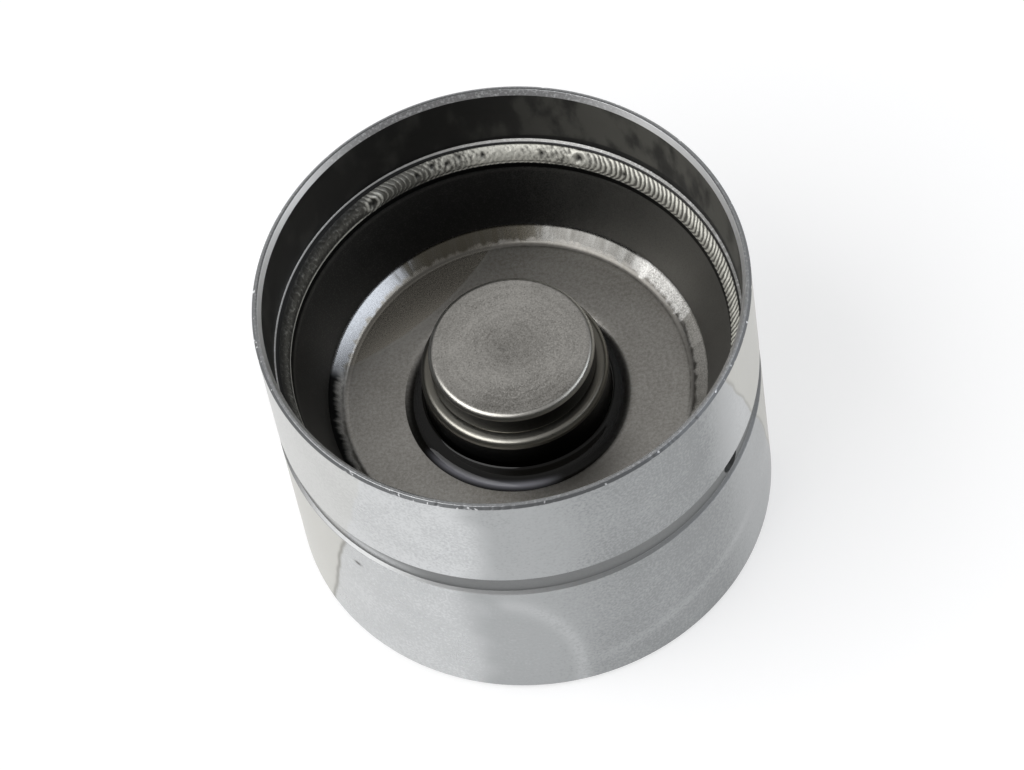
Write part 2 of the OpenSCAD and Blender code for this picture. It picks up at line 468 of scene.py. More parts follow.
def add_work(name: str, work: bmesh.types.BMesh) -> Piece:
    """Makes a piece of finished mesh work, with its faces outwards.

    Args:
        name: name of the new piece and its mesh.
        work: the mesh work, freed here.

    Returns:
        The new piece.
    """
    bmesh.ops.recalc_face_normals(work, faces=work.faces)
    mesh = bpy.data.meshes.new(name)
    work.to_mesh(mesh)
    work.free()
    return add(name, mesh)


def mesh_piece(name: str, rows: list[np.ndarray]) -> Piece:
    """Makes a closed piece of rings of vertices, each joined to the next and the last to the first.

    Args:
        name: name of the new piece.
        rows: the rings; a ring of one vertex is a point on the axis.

    Returns:
        The new piece, with its faces outwards and only its sharp edges unsmoothed.
    """
    segments = max(len(row) for row in rows)
    starts = np.cumsum([0] + [len(row) for row in rows[:-1]])
    rings = [start + np.arange(len(row)) for start, row in zip(starts, rows)]
    faces: list[list[int]] = []
    for row, after in zip(rings, rings[1:] + rings[:1]):
        if len(row) == 1 and len(after) == 1:
            continue
        low = np.resize(row, segments)
        high = np.resize(after, segments)
        loops = np.stack([low, np.roll(low, -1), np.roll(high, -1), high], axis=1)
        faces += [list(dict.fromkeys(loop)) for loop in loops.tolist()]
    mesh = bpy.data.meshes.new(name)
    mesh.from_pydata(np.concatenate(rows).tolist(), [], faces)
    work = bmesh.new()
    work.from_mesh(mesh)
    bpy.data.meshes.remove(mesh)
    piece = add_work(name, work)
    smooth(piece.data)
    return piece


def ring(r: float | np.ndarray, z: float | np.ndarray, turns: np.ndarray) -> np.ndarray:
    """Gives a ring of points round the axis, one for each turn."""
    return np.stack(np.broadcast_arrays(r * np.cos(turns), r * np.sin(turns), z), axis=1)


def turns_of(segments: int) -> np.ndarray:
    """Gives the angles of that many even steps round the axis."""
    return np.arange(segments) * FULL_TURN / segments


def revolve(name: str, profile: Profile, segments: int) -> Piece:
    """Turns an outline round the axis.

    Args:
        name: name of the new piece.
        profile: its outline; points on the axis become single vertices.
        segments: number of steps round the axis.

    Returns:
        The new piece.
    """
    turns = turns_of(segments)
    rows = [ring(r, z, turns) if r > TINY else np.array([[0.0, 0.0, z]]) for r, z in profile.points()]
    return mesh_piece(name, rows)


def smooth(mesh: bpy.types.Mesh, sharp_from: float = 32 * DEG) -> None:
    """Shades a mesh smooth, apart from its sharp edges."""
    mesh.shade_smooth()
    mesh.set_sharp_from_angle(angle=sharp_from)


def plain_mesh(piece: Piece) -> None:
    """Applies a piece's modifiers and removes them, together with its old mesh.

    Args:
        piece: the piece.
    """
    depsgraph = bpy.context.evaluated_depsgraph_get()
    evaluated = piece.evaluated_get(depsgraph)
    mesh = bpy.data.meshes.new_from_object(evaluated, preserve_all_data_layers=True, depsgraph=depsgraph)
    old = piece.data
    piece.modifiers.clear()
    piece.data = mesh
    mesh.name = piece.name
    bpy.data.meshes.remove(old)


def cut(piece: Piece, cutter: Piece) -> None:
    """Takes a cutter out of a piece and removes the cutter.

    Args:
        piece: the piece to cut.
        cutter: shape of what is taken out.
    """
    modifier = piece.modifiers.new("cut", "BOOLEAN")
    modifier.operation = "DIFFERENCE"
    modifier.solver = "EXACT"
    modifier.object = cutter
    plain_mesh(piece)
    bpy.data.objects.remove(cutter)
    smooth(piece.data)


def seat(piece: Piece, body: Body, node: str | None = None) -> None:
    """Ties a finished piece to the frame.

    Args:
        piece: the piece.
        body: body that carries it.
        node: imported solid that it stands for, if any.
    """
    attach(piece, body.value)
    if node:
        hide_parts(node)
    LOG.info("%s: %d faces on %s", piece.name, len(piece.data.polygons), body.value)


@dataclass(frozen=True)
class Finish:
    """A procedural finish; each kind of surface is a subclass."""

    name: str

    def material(self) -> bpy.types.Material:
        """Makes the material.

        Returns:
            A material whose nodes paint() has filled.
        """
        material = bpy.data.materials.new(self.name)
        material.use_nodes = True
        material.node_tree.nodes.clear()
        self.paint(Surface(material.node_tree))
        return material

    def paint(self, s: Surface) -> None:
        """Fills the material's tree, one way for each finish."""
        raise NotImplementedError

    def put_on(self, piece: Piece) -> None:
        """Makes this finish a piece's only material."""
        piece.data.materials.clear()
        piece.data.materials.append(self.material())


@dataclass(frozen=True)
class GroundSteel(Finish):
    """The cup's steel: ground and smudged outside, rough in the groove, dark with oil inside, with painted
    shade and highlights.
    """

    body_r: float
    body_h: float
    groove_z: float
    groove_w: float
    rim_out: float
    mouth_r: float
    bevel_w: float
    bevel_h: float
    step_z: float
    pale: Colour = (0.62, 0.63, 0.635)
    shade: Colour = (0.50, 0.51, 0.515)
    skirt_shade_colour: Colour = (0.268, 0.277, 0.280)
    film: Colour = (0.57, 0.56, 0.515)
    film_line: Colour = (0.22, 0.21, 0.185)
    pit: Colour = (0.07, 0.07, 0.065)
    groove: Colour = (0.235, 0.24, 0.24)
    flank_shade: Colour = (0.29, 0.293, 0.293)
    rim: Colour = (0.275, 0.28, 0.285)
    rim_line: Colour = (0.09, 0.09, 0.09)
    rim_edge: Colour = (0.18, 0.185, 0.19)
    speckle: Colour = (0.80, 0.81, 0.82)
    bevel_highlight: Colour = (0.84, 0.84, 0.835)
    bevel_back_shade: Colour = (0.27, 0.27, 0.27)
    oiled: Colour = (0.011, 0.011, 0.0105)
    streak_and_light: Colour = (0.075, 0.074, 0.065)
    step_shade: Colour = (0.004, 0.004, 0.004)
    lip: Colour = (0.46, 0.456, 0.44)
    lip_right_shade: Colour = (0.25, 0.248, 0.24)
    lines: Streaks = (0.09 * MM, 2.0, 3.0)
    cloud: Grain = (5.0 * MM, 5.0)
    speck: Grain = (0.20 * MM, 3.0)
    tone: Weights = (0.62, 0.8, 2.6, 4.0, 0.8, -0.35)
    roughness: Weights = (0.30, 0.14, 0.1, 0.08, 0.25, 0.05, 0.06, 0.12)
    oil_roughness: Weights = (0.42, 0.2)
    oil_shine: float = 0.3
    scratches: Weights = (0.0, 1.0, 0.8)
    scratch_depth: float = 0.0025 * MM
    skirt_from: Edge = (0.3 * MM, 0.3 * MM)
    inside_from: Edge = (1.5 * MM, 0.5 * MM)
    bevel_at_back: Edge = (0.80, 0.3)
    bevel_specks: float = 2.5
    lip_fall: Weights = (-0.045 * MM, -0.04 * MM)
    lip_falls: Edge = (-0.2, 0.7)
    lip_darkens: Edge = (0.45, 0.7)
    lip_specks: float = 2.0
    groove_left: Span = (-150 * DEG, -37 * DEG, 0.34)
    groove_shade: float = 0.9 * MM
    groove_fade: float = 3.0 * MM
    flank_h: float = 0.17 * MM
    flank_in: float = 0.012 * MM
    # Where and how much the skirt is painted darker: painted shade.
    skirt_shade_tone: Weights = (1.0, 1.2, 0.5, -0.22)
    skirt_shade_from: Weights = (21.5 * DEG, 1.0, -5.5 * DEG, 0.3)
    skirt_shade_edge: Edge = (0.0, 0.2)
    skirt_shade_more: Edge = (8 * DEG, 0.5)
    skirt_shade_share: Weights = (0.62, 0.32)
    skirt_shade_far: Edge = (50 * DEG, 0.35)
    skirt_shade_loss: Weights = (0.40, 0.40)
    skirt_shade_end: Edge = (130 * DEG, 0.9)
    smear_turn: Edge = (-4.2 * MM, 5.1 * MM)
    smear_z: Edge = (3.0 * MM, 9.5 * MM)
    smear_arc: Hump = (1.0, 0.11)
    smear_side: Edge = (0.0, 0.3)
    smear_end: float = 0.3 * MM
    slant: Hump = (2.6 * MM, 0.7 * MM)
    slant_rise: float = 3.5 * MM
    slant_turns: Span = (8 * DEG, 56 * DEG, 0.2)
    slant_share: float = 0.7
    nicks: Grain = (0.45 * MM, 1.0)
    nick_edge: Edge = (0.22, 0.08)
    turning: Streaks = (0.05 * MM, 1.0, 1.0)
    rim_specks: Edge = (0.10, 0.3)
    rim_back: Edge = (0.3, 0.8)
    rim_tone: Weights = (0.13, 0.35, 0.7, -0.13)
    rim_line_in: float = 0.05 * MM
    rim_line_back: Edge = (0.1, 0.5)
    oil_runs: Streaks = (4.0 * MM, 9.0, 4.0)
    inside_right: Edge = (0.35, 0.9)
    run_tone: Weights = (0.0, 1.0, 0.14, 0.4)
    run_edge: Edge = (0.10, 0.2)
    run_share: Weights = (0.25, 0.75)
    gap_low: float = -0.3 * MM
    gap_high: Weights = (0.30 * MM, 0.4 * MM)
    gap_soft: float = 0.2 * MM
    gap_share: float = 0.95
    film_wobble: Grain = (3.0 * MM, 1.5)
    film_left: Weights = (-67.0 * DEG, 13.0 * DEG / (13.5 * MM), 0.05)
    film_right: Weights = (85.1 * DEG, -1.23 * DEG / MM, 0.05)
    film_soft: float = 0.02
    film_start: Edge = (-135 * DEG, 0.3)
    film_end: Edge = (140 * DEG, 0.3)
    film_fade: float = 0.6 * MM
    film_thins: Weights = (0.45, 0.55)
    film_share: float = 0.75
    line_widths: Point = (0.012, 0.010)
    line_right: float = 0.7
    line_share: float = 0.9
    mark: tuple[Hump, Hump] = ((-50.3 * DEG, 0.018), (11.9 * MM, 0.21 * MM))
    mark_share: float = 1.2
    dot: tuple[Hump, Hump] = ((42.6 * DEG, 0.006), (14.64 * MM, 0.1 * MM))

    @property
    def low(self) -> float:
        """Height of the groove's lower edge."""
        return self.groove_z - self.groove_w / 2

    def paint(self, s: Surface) -> None:
        """Fills the material's tree.

        Args:
            s: the material's tree.
        """
        lines = s.wrapped(s.z + s.r, *self.lines)
        cloud = s.grain(*self.cloud)
        speck = s.grain(*self.speck)
        smears = self.smears(s)
        on_skirt = s.step(s.z, *self.skirt_from)
        # Below the groove the skirt is painted darker: painted shade.
        below = 1 - s.step(s.z, self.groove_z, self.groove_fade)
        colour = s.blend(s.weigh(self.tone, lines, cloud, speck, smears, below), self.shade, self.pale)
        # Painted shade: the skirt is painted darker from the front round to the right, and made rougher
        # there.
        skirt_shade = self.skirt_shade(s, cloud) * on_skirt * s.weigh(self.skirt_shade_tone, speck, cloud, smears)
        colour = s.blend(skirt_shade, colour, self.skirt_shade_colour)
        film, film_line = self.films(s)
        film = film * on_skirt
        colour = s.blend(film * self.film_share, colour, self.film)
        colour = s.blend(film_line * on_skirt * self.line_share, colour, self.film_line)
        pits = s.spot(*self.mark) * self.mark_share + s.spot(*self.dot)
        colour = s.blend(pits, colour, self.pit)
        # The groove is painted dark, partly as painted shade; at the left only a painted shadow under its
        # upper edge.
        groove_and_shadow = self.groove_and_shadow(s)
        colour = s.blend(groove_and_shadow, colour, self.groove)
        # Painted shade on the groove's lower sloping side.
        colour = s.blend(self.on_flank(s), colour, self.flank_shade)
        colour = self.rim_colour(s, colour, speck)
        inside = (1 - s.step(s.r, self.mouth_r + GAP, HAIR)) * s.step(s.z, *self.inside_from)
        lip_low = s.weigh(self.lip_fall, s.step(s.east, *self.lip_falls))
        on_lip = s.band(s.z - self.step_z, lip_low, GAP, HAIR) * inside
        # The lip is painted bright as a painted highlight, and darker at the right as painted shade.
        lip = s.blend(s.step(s.east, *self.lip_darkens), self.lip, self.lip_right_shade)
        colour = s.blend(on_lip, colour, s.blend(speck * self.lip_specks, lip, self.speckle))
        on_bevel = 1 - s.step(s.r, self.mouth_r + self.bevel_w - GAP / 2, HAIR)
        on_bevel = on_bevel * s.step(s.z, self.body_h - self.bevel_h, FINE)
        # The inner chamfer is painted bright as a painted highlight, and darker at the back as painted
        # shade.
        back = s.blend(speck * self.bevel_specks, self.bevel_back_shade, self.speckle)
        bevel_highlight = s.blend(s.step(s.north, *self.bevel_at_back), self.bevel_highlight, back)
        normal = s.bump(s.weigh(self.scratches, lines, speck), self.scratch_depth)
        steel = {
            "Base Color": s.blend(on_bevel, colour, bevel_highlight),
            "Metallic": 1.0,
            "Roughness": s.weigh(self.roughness, cloud, speck, skirt_shade, groove_and_shadow, film, on_bevel, on_lip),
            "Normal": normal,
        }
        oil = {
            "Base Color": self.inside_colour(s, cloud),
            "Roughness": s.weigh(self.oil_roughness, cloud),
            "Specular IOR Level": self.oil_shine,
            "Normal": normal,
        }
        s.close(steel, oil, inside * (1 - on_bevel) * (1 - on_lip))

    def groove_and_shadow(self, s: Surface) -> Value:
        """Places the dark groove, partly a rougher finish and partly painted shade; at the left only a
        painted shadow under its upper edge stays dark.

        Args:
            s: the material's tree.

        Returns:
            A mask.
        """
        top = self.low + self.groove_w
        within = s.band(s.z, self.low, top, 2 * HAIR) * (1 - s.step(s.r, self.body_r - FINE, FINE))
        under = s.step(s.z, top - self.groove_shade, self.groove_shade)
        return within * (1 - s.band(s.turn, *self.groove_left) * (1 - under))

    def on_flank(self, s: Surface) -> Value:
        """Places the painted shade on the groove's lower sloping side."""
        flank_shade = s.band(s.z, self.low - GAP, self.low + self.flank_h, HAIR)
        return flank_shade * (1 - s.step(s.r, self.body_r - self.flank_in, self.flank_in))

    def skirt_shade(self, s: Surface, cloud: Value) -> Value:
        """Places the painted shade on the skirt, from the front round to the right, where it is also
        rougher.

        Args:
            s: the material's tree.
            cloud: slow mottling.

        Returns:
            A mask.
        """
        high = s.step(s.z, self.groove_z, self.groove_fade)
        zone = s.step(s.weigh(self.skirt_shade_from, s.turn, high, cloud), *self.skirt_shade_edge)
        zone = zone * s.weigh(self.skirt_shade_share, s.step(s.turn, *self.skirt_shade_more))
        zone = zone * (1 - s.step(s.turn, *self.skirt_shade_far) * s.weigh(self.skirt_shade_loss, high))
        return zone * (1 - s.step(s.turn, *self.skirt_shade_end))

    def smears(self, s: Surface) -> Value:
        """Places two pale smears below the groove.

        Args:
            s: the material's tree.

        Returns:
            A mask of an arc at the front and a slanting smear at the right.
        """
        across = (s.turn * self.body_r - self.smear_turn[0]) / self.smear_turn[1]
        up = (s.z - self.smear_z[0]) / self.smear_z[1]
        arc = s.bell(s.hypot(across, up), *self.smear_arc) * s.step(across, *self.smear_side)
        slant = s.bell(s.z - s.turn * self.slant_rise, *self.slant) * s.band(s.turn, *self.slant_turns)
        return (arc + slant * self.slant_share) * (1 - s.step(s.z, self.low, self.smear_end))

    def rim_colour(self, s: Surface, colour: Value, speck: Value) -> Value:
        """Paints the rim: grey on top, dark on its outer chamfer, with bright nicks and painted shade at the
        back.

        Args:
            s: the material's tree.
            colour: colour of the skirt.
            speck: fine grain.

        Returns:
            The colour with the rim on it.
        """
        specks = s.step(speck, *self.rim_specks)
        # Towards the back the rim's top is painted darker, and a dark line is painted at its inner edge
        # there: painted shade.
        tone = s.weigh(self.rim_tone, specks, s.wrapped(s.r, *self.turning), s.step(s.north, *self.rim_back))
        line = s.bell(s.r, self.mouth_r + self.bevel_w + self.rim_line_in, HAIR)
        line = line * s.step(s.north, *self.rim_line_back)
        top = s.blend(line, s.blend(tone, self.rim, self.speckle), self.rim_line)
        edge = s.blend(s.step(s.grain(*self.nicks), *self.nick_edge), self.rim_edge, self.speckle)
        at_edge = s.step(s.r, self.body_r - self.rim_out + GAP, FINE)
        return s.blend(s.step(s.z, self.body_h - self.rim_out, FINE), colour, s.blend(at_edge, top, edge))

    def inside_colour(self, s: Surface, cloud: Value) -> Value:
        """Paints the oily inside of the mouth, with painted light on its streaks at the right and painted
        shade round the step.

        Args:
            s: the material's tree.
            cloud: slow mottling.

        Returns:
            The colour.
        """
        right = s.step(s.east, *self.inside_right)
        # Lighter streaks: runs of oil, gathered at the right as painted light.
        runs = s.weigh(self.run_tone, s.wrapped(s.z, *self.oil_runs), right, cloud)
        runs = s.step(runs, *self.run_edge) * s.weigh(self.run_share, right)
        # A band of painted shade round the step, wider at the right.
        gap = s.band(s.z - self.step_z, self.gap_low, s.weigh(self.gap_high, right), self.gap_soft)
        return s.blend(gap * self.gap_share, s.blend(runs, self.oiled, self.streak_and_light), self.step_shade)

    def films(self, s: Surface) -> tuple[Value, Value]:
        """Places the two dried films of preserving oil on the skirt.

        Args:
            s: the material's tree.

        Returns:
            Masks of the films and of the dark lines at their borders.
        """
        wobble = s.grain(*self.film_wobble)
        left_edge = s.weigh(self.film_left, s.z, wobble)
        right_edge = s.weigh(self.film_right, s.z, wobble)
        below = 1 - s.step(s.z, self.low, self.film_fade)
        left = (1 - s.step(s.turn, left_edge, self.film_soft)) * s.step(s.turn, *self.film_start)
        right = s.step(s.turn, right_edge, self.film_soft) * (1 - s.step(s.turn, *self.film_end))
        line = s.bell(s.turn, left_edge, self.line_widths[0]) * below
        line = line + s.bell(s.turn, right_edge, self.line_widths[1]) * right * self.line_right
        return left * s.weigh(self.film_thins, below) + right, line


@dataclass(frozen=True)
class DrawnSteel(Finish):
    """Oiled drawn sheet: grainy floor, a pressed band round its foot and a dark wall, with painted light and
    shade.
    """

    foot_in_r: float
    foot_out_r: float
    toe_z: float
    floor_pale: Colour = (0.39, 0.377, 0.352)
    floor_dark: Colour = (0.26, 0.247, 0.225)
    pool_pale: Colour = (0.40, 0.372, 0.325)
    pool_dark: Colour = (0.28, 0.258, 0.22)
    pool_edge_highlight: Colour = (0.46, 0.44, 0.40)
    floor_shade: Colour = (0.085, 0.080, 0.070)
    wall: Colour = (0.098, 0.098, 0.097)
    wall_lit: Colour = (0.34, 0.337, 0.322)
    shade_black: Colour = (0.010, 0.010, 0.010)
    band_pale: Colour = (0.22, 0.217, 0.207)
    band_dark: Colour = (0.075, 0.071, 0.063)
    band_blue_reflection: Colour = (0.38, 0.385, 0.395)
    band_brown_shade: Colour = (0.098, 0.089, 0.070)
    band_lit: Colour = (0.60, 0.585, 0.55)
    band_tip_highlight: Colour = (0.95, 0.94, 0.91)
    fine: Grain = (0.11 * MM, 2.0)
    coarse: Grain = (0.24 * MM, 1.0)
    cloud: Grain = (4.0 * MM, 3.0)
    arcs: Streaks = (0.5 * MM, 1.0, 2.0)
    marks: Streaks = (3.0 * MM, 26.0, 4.0)
    floor_tone: Weights = (HALF, 1.4, 1.5, 0.9, 0.6)
    roughness: Weights = (0.34, 0.2, -0.06)
    band_smooth: Weights = (-0.08, 0.26)
    coat: Weights = (0.3, -0.3)
    coat_roughness: float = 0.05
    wall_flat: Weights = (1.0, -0.6)
    pool_flat: Weights = (1.0, -0.8)
    relief: float = 0.004 * MM
    front_shade: Hump = (24 * DEG, 0.42)
    front_shade_in: Edge = (10.4 * MM, 2.8 * MM)
    front_shade_share: float = 0.8
    right: Edge = (0.1, 0.3)
    crease: Hump = (-0.2 * MM, 0.06 * MM)
    crease_share: float = 0.3
    bend: Hump = (0.0, 0.27 * MM)
    bend_share: Weights = (0.68, 0.2)
    bend_middle: float = -0.15
    bend_back: Edge = (0.35, 0.4)
    crease_tilt: float = 0.3
    crease_from: Edge = (-0.05, 0.3)
    band_stir: float = 0.8 * MM
    band_from: Edge = (0.26 * MM, 0.26 * MM)
    lit_tilt: float = 0.34
    lit_to: Edge = (0.30, 0.10)
    band_tone: Weights = (0.62, 1.6, 0.8)
    band_ragged: float = 0.3
    blue_to: Edge = (-0.52, 0.12)
    brown: Span = (-0.50, 0.25, 0.14)
    brown_share: Weights = (0.9, 1.2)
    tip_right: Edge = (0.5, 0.3)
    tip_back: Edge = (0.24, 0.05)
    tip_ragged: float = 0.2
    lit_band_tone: Weights = (0.7, 2.0, 1.0)
    shaded_stir: float = 1.2 * MM
    shaded_from: Edge = (0.60 * MM, 0.6 * MM)
    shaded_left: Edge = (0.35, 0.4)
    pool_x: float = -18.8 * MM
    pool_y: float = 27.6 * MM
    pool_r: float = 24.0 * MM
    pool_tone: Weights = (HALF, 0.4)
    pool_wobble: Grain = (2.5 * MM, 2.0)
    pool_stir: float = 0.25 * MM
    pool_soft: float = 0.14 * MM
    pool_line: Hump = (0.12 * MM, 0.07 * MM)
    pool_line_share: float = 0.35
    wall_ragged: float = 0.4
    wall_lit_from: Edge = (0.42, 0.7)
    wall_tone: Weights = (0.0, 0.9, 0.9)
    under_weld: Span = (0.06 * MM, 0.36 * MM, 0.1 * MM)
    under_share: float = 0.9
    wall_line: Hump = (0.55 * MM, 0.12 * MM)
    wall_line_share: float = 0.25

    def paint(self, s: Surface) -> None:
        """Fills the material's tree.

        Args:
            s: the material's tree.
        """
        grain = s.grain(*self.fine)
        cloud = s.grain(*self.cloud)
        marks = s.wrapped(s.r, *self.marks)
        pool, pool_line = self.pool_masks(s)
        arcs = s.wrapped(s.r, *self.arcs)
        tone = s.weigh(self.floor_tone, grain, s.grain(*self.coarse), cloud, arcs)
        floor = s.blend(tone, self.floor_dark, self.floor_pale)
        floor = s.blend(pool, floor, s.blend(s.weigh(self.pool_tone, grain), self.pool_dark, self.pool_pale))
        # A painted highlight line along the pool's border.
        floor = s.blend(pool_line, floor, self.pool_edge_highlight)
        # A dark patch painted on the floor at the front right, near the inner cylinder: painted shade.
        front_shade = s.bell(s.turn, *self.front_shade) * (1 - s.step(s.r, *self.front_shade_in))
        floor = s.blend(front_shade * self.front_shade_share, floor, self.floor_shade)
        out = s.r - self.foot_in_r
        right = s.step(s.east, *self.right)
        # Painted shade in the creases at the band's inner edge.
        floor = s.blend(self.creases(s, out, marks, right), floor, self.floor_shade)
        in_band = s.step(out + marks * self.band_stir, *self.band_from)
        on_wall = s.step(s.r, self.foot_out_r, FINE)
        # The front of the band, and more of it at the right, is painted lit: painted light, with painted
        # shade at its left front.
        painted_light_zone = 1 - s.step(s.north - right * self.lit_tilt, *self.lit_to)
        colour = s.blend(in_band, floor, self.band_colour(s, out, marks, grain, painted_light_zone))
        roughness = s.weigh(self.roughness, grain, pool * (1 - in_band))
        relief = grain * s.weigh(self.wall_flat, on_wall) * s.weigh(self.pool_flat, pool)
        s.close({
            "Base Color": s.blend(on_wall, colour, self.wall_colour(s, cloud, grain)),
            "Metallic": 1.0,
            "Roughness": roughness + in_band * s.weigh(self.band_smooth, painted_light_zone) * (1 - on_wall),
            "Coat Weight": s.weigh(self.coat, in_band),
            "Coat Roughness": self.coat_roughness,
            "Normal": s.bump(relief, self.relief),
        })

    def creases(self, s: Surface, out: Value, marks: Value, right: Value) -> Value:
        """Places the painted shade in the creases at the band's inner edge, broken by radial marks.

        Args:
            s: the material's tree.
            out: distance outwards from that edge.
            marks: radial streaks.
            right: mask of the right half.

        Returns:
            A mask.
        """
        crease = s.bell(out, *self.crease) * (self.crease_share + marks) * right
        at_back = s.step(s.north - abs(s.east - self.bend_middle), *self.bend_back)
        crease = crease + s.bell(out, *self.bend) * s.weigh(self.bend_share, at_back)
        return crease * s.step(s.north + s.east * self.crease_tilt, *self.crease_from)

    def band_colour(self, s: Surface, out: Value, marks: Value, grain: Value, painted_light_zone: Value) -> Value:
        """Paints the pressed band: dark at the right, brown behind, with painted light, shade and reflection
        on it.

        Args:
            s: the material's tree.
            out: distance outwards from the band's inner edge.
            marks: radial streaks.
            grain: fine grain.
            painted_light_zone: mask of the part that is painted lit.

        Returns:
            The colour.
        """
        band = s.blend(s.weigh(self.band_tone, marks, grain), self.band_dark, self.band_pale)
        ragged = s.east + marks * self.band_ragged
        # A painted bluish reflection on the band at the left.
        band = s.blend(1 - s.step(ragged, *self.blue_to), band, self.band_blue_reflection)
        brown = s.band(ragged, *self.brown) * s.weigh(self.brown_share, marks)
        # Brown at the back, partly tint and partly painted shade.
        band = s.blend(brown, band, self.band_brown_shade)
        # A painted highlight at the band's tip at the right.
        tip = s.step(s.east, *self.tip_right) * s.step(s.north + marks * self.tip_ragged, *self.tip_back)
        pale = s.blend(tip, self.band_lit, self.band_tip_highlight)
        lit_band = s.blend(s.weigh(self.lit_band_tone, grain, marks), self.floor_dark, pale)
        # Painted shade, very dark, in the outer part of the band at the left front.
        shaded = s.step(out + marks * self.shaded_stir, *self.shaded_from)
        shaded = shaded * s.step(-s.east, *self.shaded_left)
        return s.blend(painted_light_zone, band, s.blend(shaded, lit_band, self.shade_black))

    def pool_masks(self, s: Surface) -> tuple[Value, Value]:
        """Places the shallow pool of dark oil at the back left of the floor.

        Args:
            s: the material's tree.

        Returns:
            Masks of the pool and of the painted highlight line at its border.
        """
        away = s.hypot(s.x - self.pool_x, s.y - self.pool_y) - self.pool_r
        away = away + s.grain(*self.pool_wobble) * self.pool_stir
        return 1 - s.step(away, 0.0, self.pool_soft), s.bell(away, *self.pool_line) * self.pool_line_share

    def wall_colour(self, s: Surface, cloud: Value, grain: Value) -> Value:
        """Paints the conical wall: oily and dark, with painted light at the right and painted shade under
        the weld.

        Args:
            s: the material's tree.
            cloud: slow mottling.
            grain: fine grain.

        Returns:
            The colour.
        """
        # The wall is painted lighter at the right: painted light.
        painted_light_zone = s.step(s.east + cloud * self.wall_ragged, *self.wall_lit_from)
        wall = s.blend(s.weigh(self.wall_tone, painted_light_zone, grain), self.wall, self.wall_lit)
        below = self.toe_z - s.z
        # A faint painted highlight line below the weld, then painted shade just under it.
        wall = s.blend(s.bell(below, *self.wall_line) * self.wall_line_share, wall, self.wall_lit)
        return s.blend(s.band(below, *self.under_weld) * self.under_share, wall, self.shade_black)


@dataclass(frozen=True)
class WeldMetal(Finish):
    """Rippled weld metal: painted highlights on the crests, painted shade between them, and dark pits."""

    crest: Colour = (0.70, 0.69, 0.62)
    valley_shade: Colour = (0.13, 0.127, 0.112)
    pit: Colour = (0.012, 0.012, 0.011)
    fine: Grain = (0.13 * MM, 2.0)
    ragged: float = 0.6
    crest_from: Edge = (0.48, 0.9)
    metallic: float = 0.35
    roughness: Weights = (0.42, 0.2)
    relief: float = 0.010 * MM

    def paint(self, s: Surface) -> None:
        """Fills the material's tree.

        Args:
            s: the material's tree.
        """
        ripple, pits = (
            s.out(s.node("ShaderNodeAttribute", {"attribute_name": name}), "Fac")
            for name in ("ripple", "pit"))
        grain = s.grain(*self.fine)
        # Painted light and shade: the stored ripple tone makes the crests pale and the hollows between them
        # dark.
        metal = s.blend(s.step(ripple + grain * self.ragged, *self.crest_from), self.valley_shade, self.crest)
        s.close({
            "Base Color": s.blend(pits, metal, self.pit),
            "Metallic": self.metallic,
            "Roughness": s.weigh(self.roughness, grain),
            "Normal": s.bump(grain, self.relief),
        })


@dataclass(frozen=True)
class TurnedSteel(Finish):
    """Turned and lapped steel: grainy face with turning rings, with painted shade and highlights."""

    face_z: float
    edge_h: float
    shoulder_z: float
    pale: Colour = (0.505, 0.488, 0.457)
    dark: Colour = (0.195, 0.187, 0.171)
    wall: Colour = (0.013, 0.0125, 0.011)
    edge: Colour = (0.50, 0.49, 0.465)
    shoulder_lit: Colour = (0.45, 0.437, 0.39)
    shoulder_shade: Colour = (0.15, 0.142, 0.122)
    fine: Grain = (0.10 * MM, 2.0)
    cloud: Grain = (2.0 * MM, 3.0)
    glints: Grain = (0.14 * MM, 0.0)
    glint_edge: Edge = (0.17, 0.12)
    rings: Streaks = (0.30 * MM, 1.2, 2.0)
    centre: Edge = (1.9 * MM, 2.6 * MM)
    halo: Hump = (3.3 * MM, 1.2 * MM)
    halo_tone: Weights = (0.06, 0.9)
    front: Edge = (3.4 * MM, 3.0 * MM)
    tone: Weights = (0.62, 1.5, 0.6, 0.5, -0.22, -0.34, 1.0)
    soft: float = 0.1 * MM
    shoulder_h: float = 0.7 * MM
    shine: Hump = (-24 * DEG, 0.75)
    roughness: Weights = (0.32, 0.2)
    ring_share: float = 0.5
    relief: float = 0.004 * MM

    def paint(self, s: Surface) -> None:
        """Fills the material's tree.

        Args:
            s: the material's tree.
        """
        grain = s.grain(*self.fine)
        rings = s.wrapped(s.r, *self.rings)
        centre = 1 - s.step(s.r, *self.centre)
        # The face is painted darker at the front: painted shade.
        front = s.step(-s.y, *self.front)
        glints = s.step(s.grain(*self.glints), *self.glint_edge)
        halo = s.bell(s.r, *self.halo) * s.weigh(self.halo_tone, glints)
        tone = s.weigh(self.tone, grain, rings, s.grain(*self.cloud), centre, front, halo)
        face = s.blend(tone, self.dark, self.pale)
        on_face = s.step(s.z, self.face_z - HAIR, HAIR)
        on_edge = s.step(s.z, self.face_z - self.edge_h, self.soft)
        on_shoulder = s.band(s.z, self.shoulder_z - self.shoulder_h, self.shoulder_z + FINE, self.soft)
        # Painted highlight at the front left of the step below the button, painted shade round the rest of
        # it, and walls painted very dark as shade.
        shoulder_lit = s.blend(s.bell(s.turn, *self.shine), self.shoulder_shade, self.shoulder_lit)
        colour = s.blend(on_shoulder, self.wall, shoulder_lit)
        colour = s.blend(on_edge, colour, s.blend(HALF + grain, self.shoulder_lit, self.edge))
        s.close({
            "Base Color": s.blend(on_face, colour, face),
            "Metallic": 1.0,
            "Roughness": s.weigh(self.roughness, grain),
            "Normal": s.bump(grain + rings * self.ring_share, self.relief),
        })


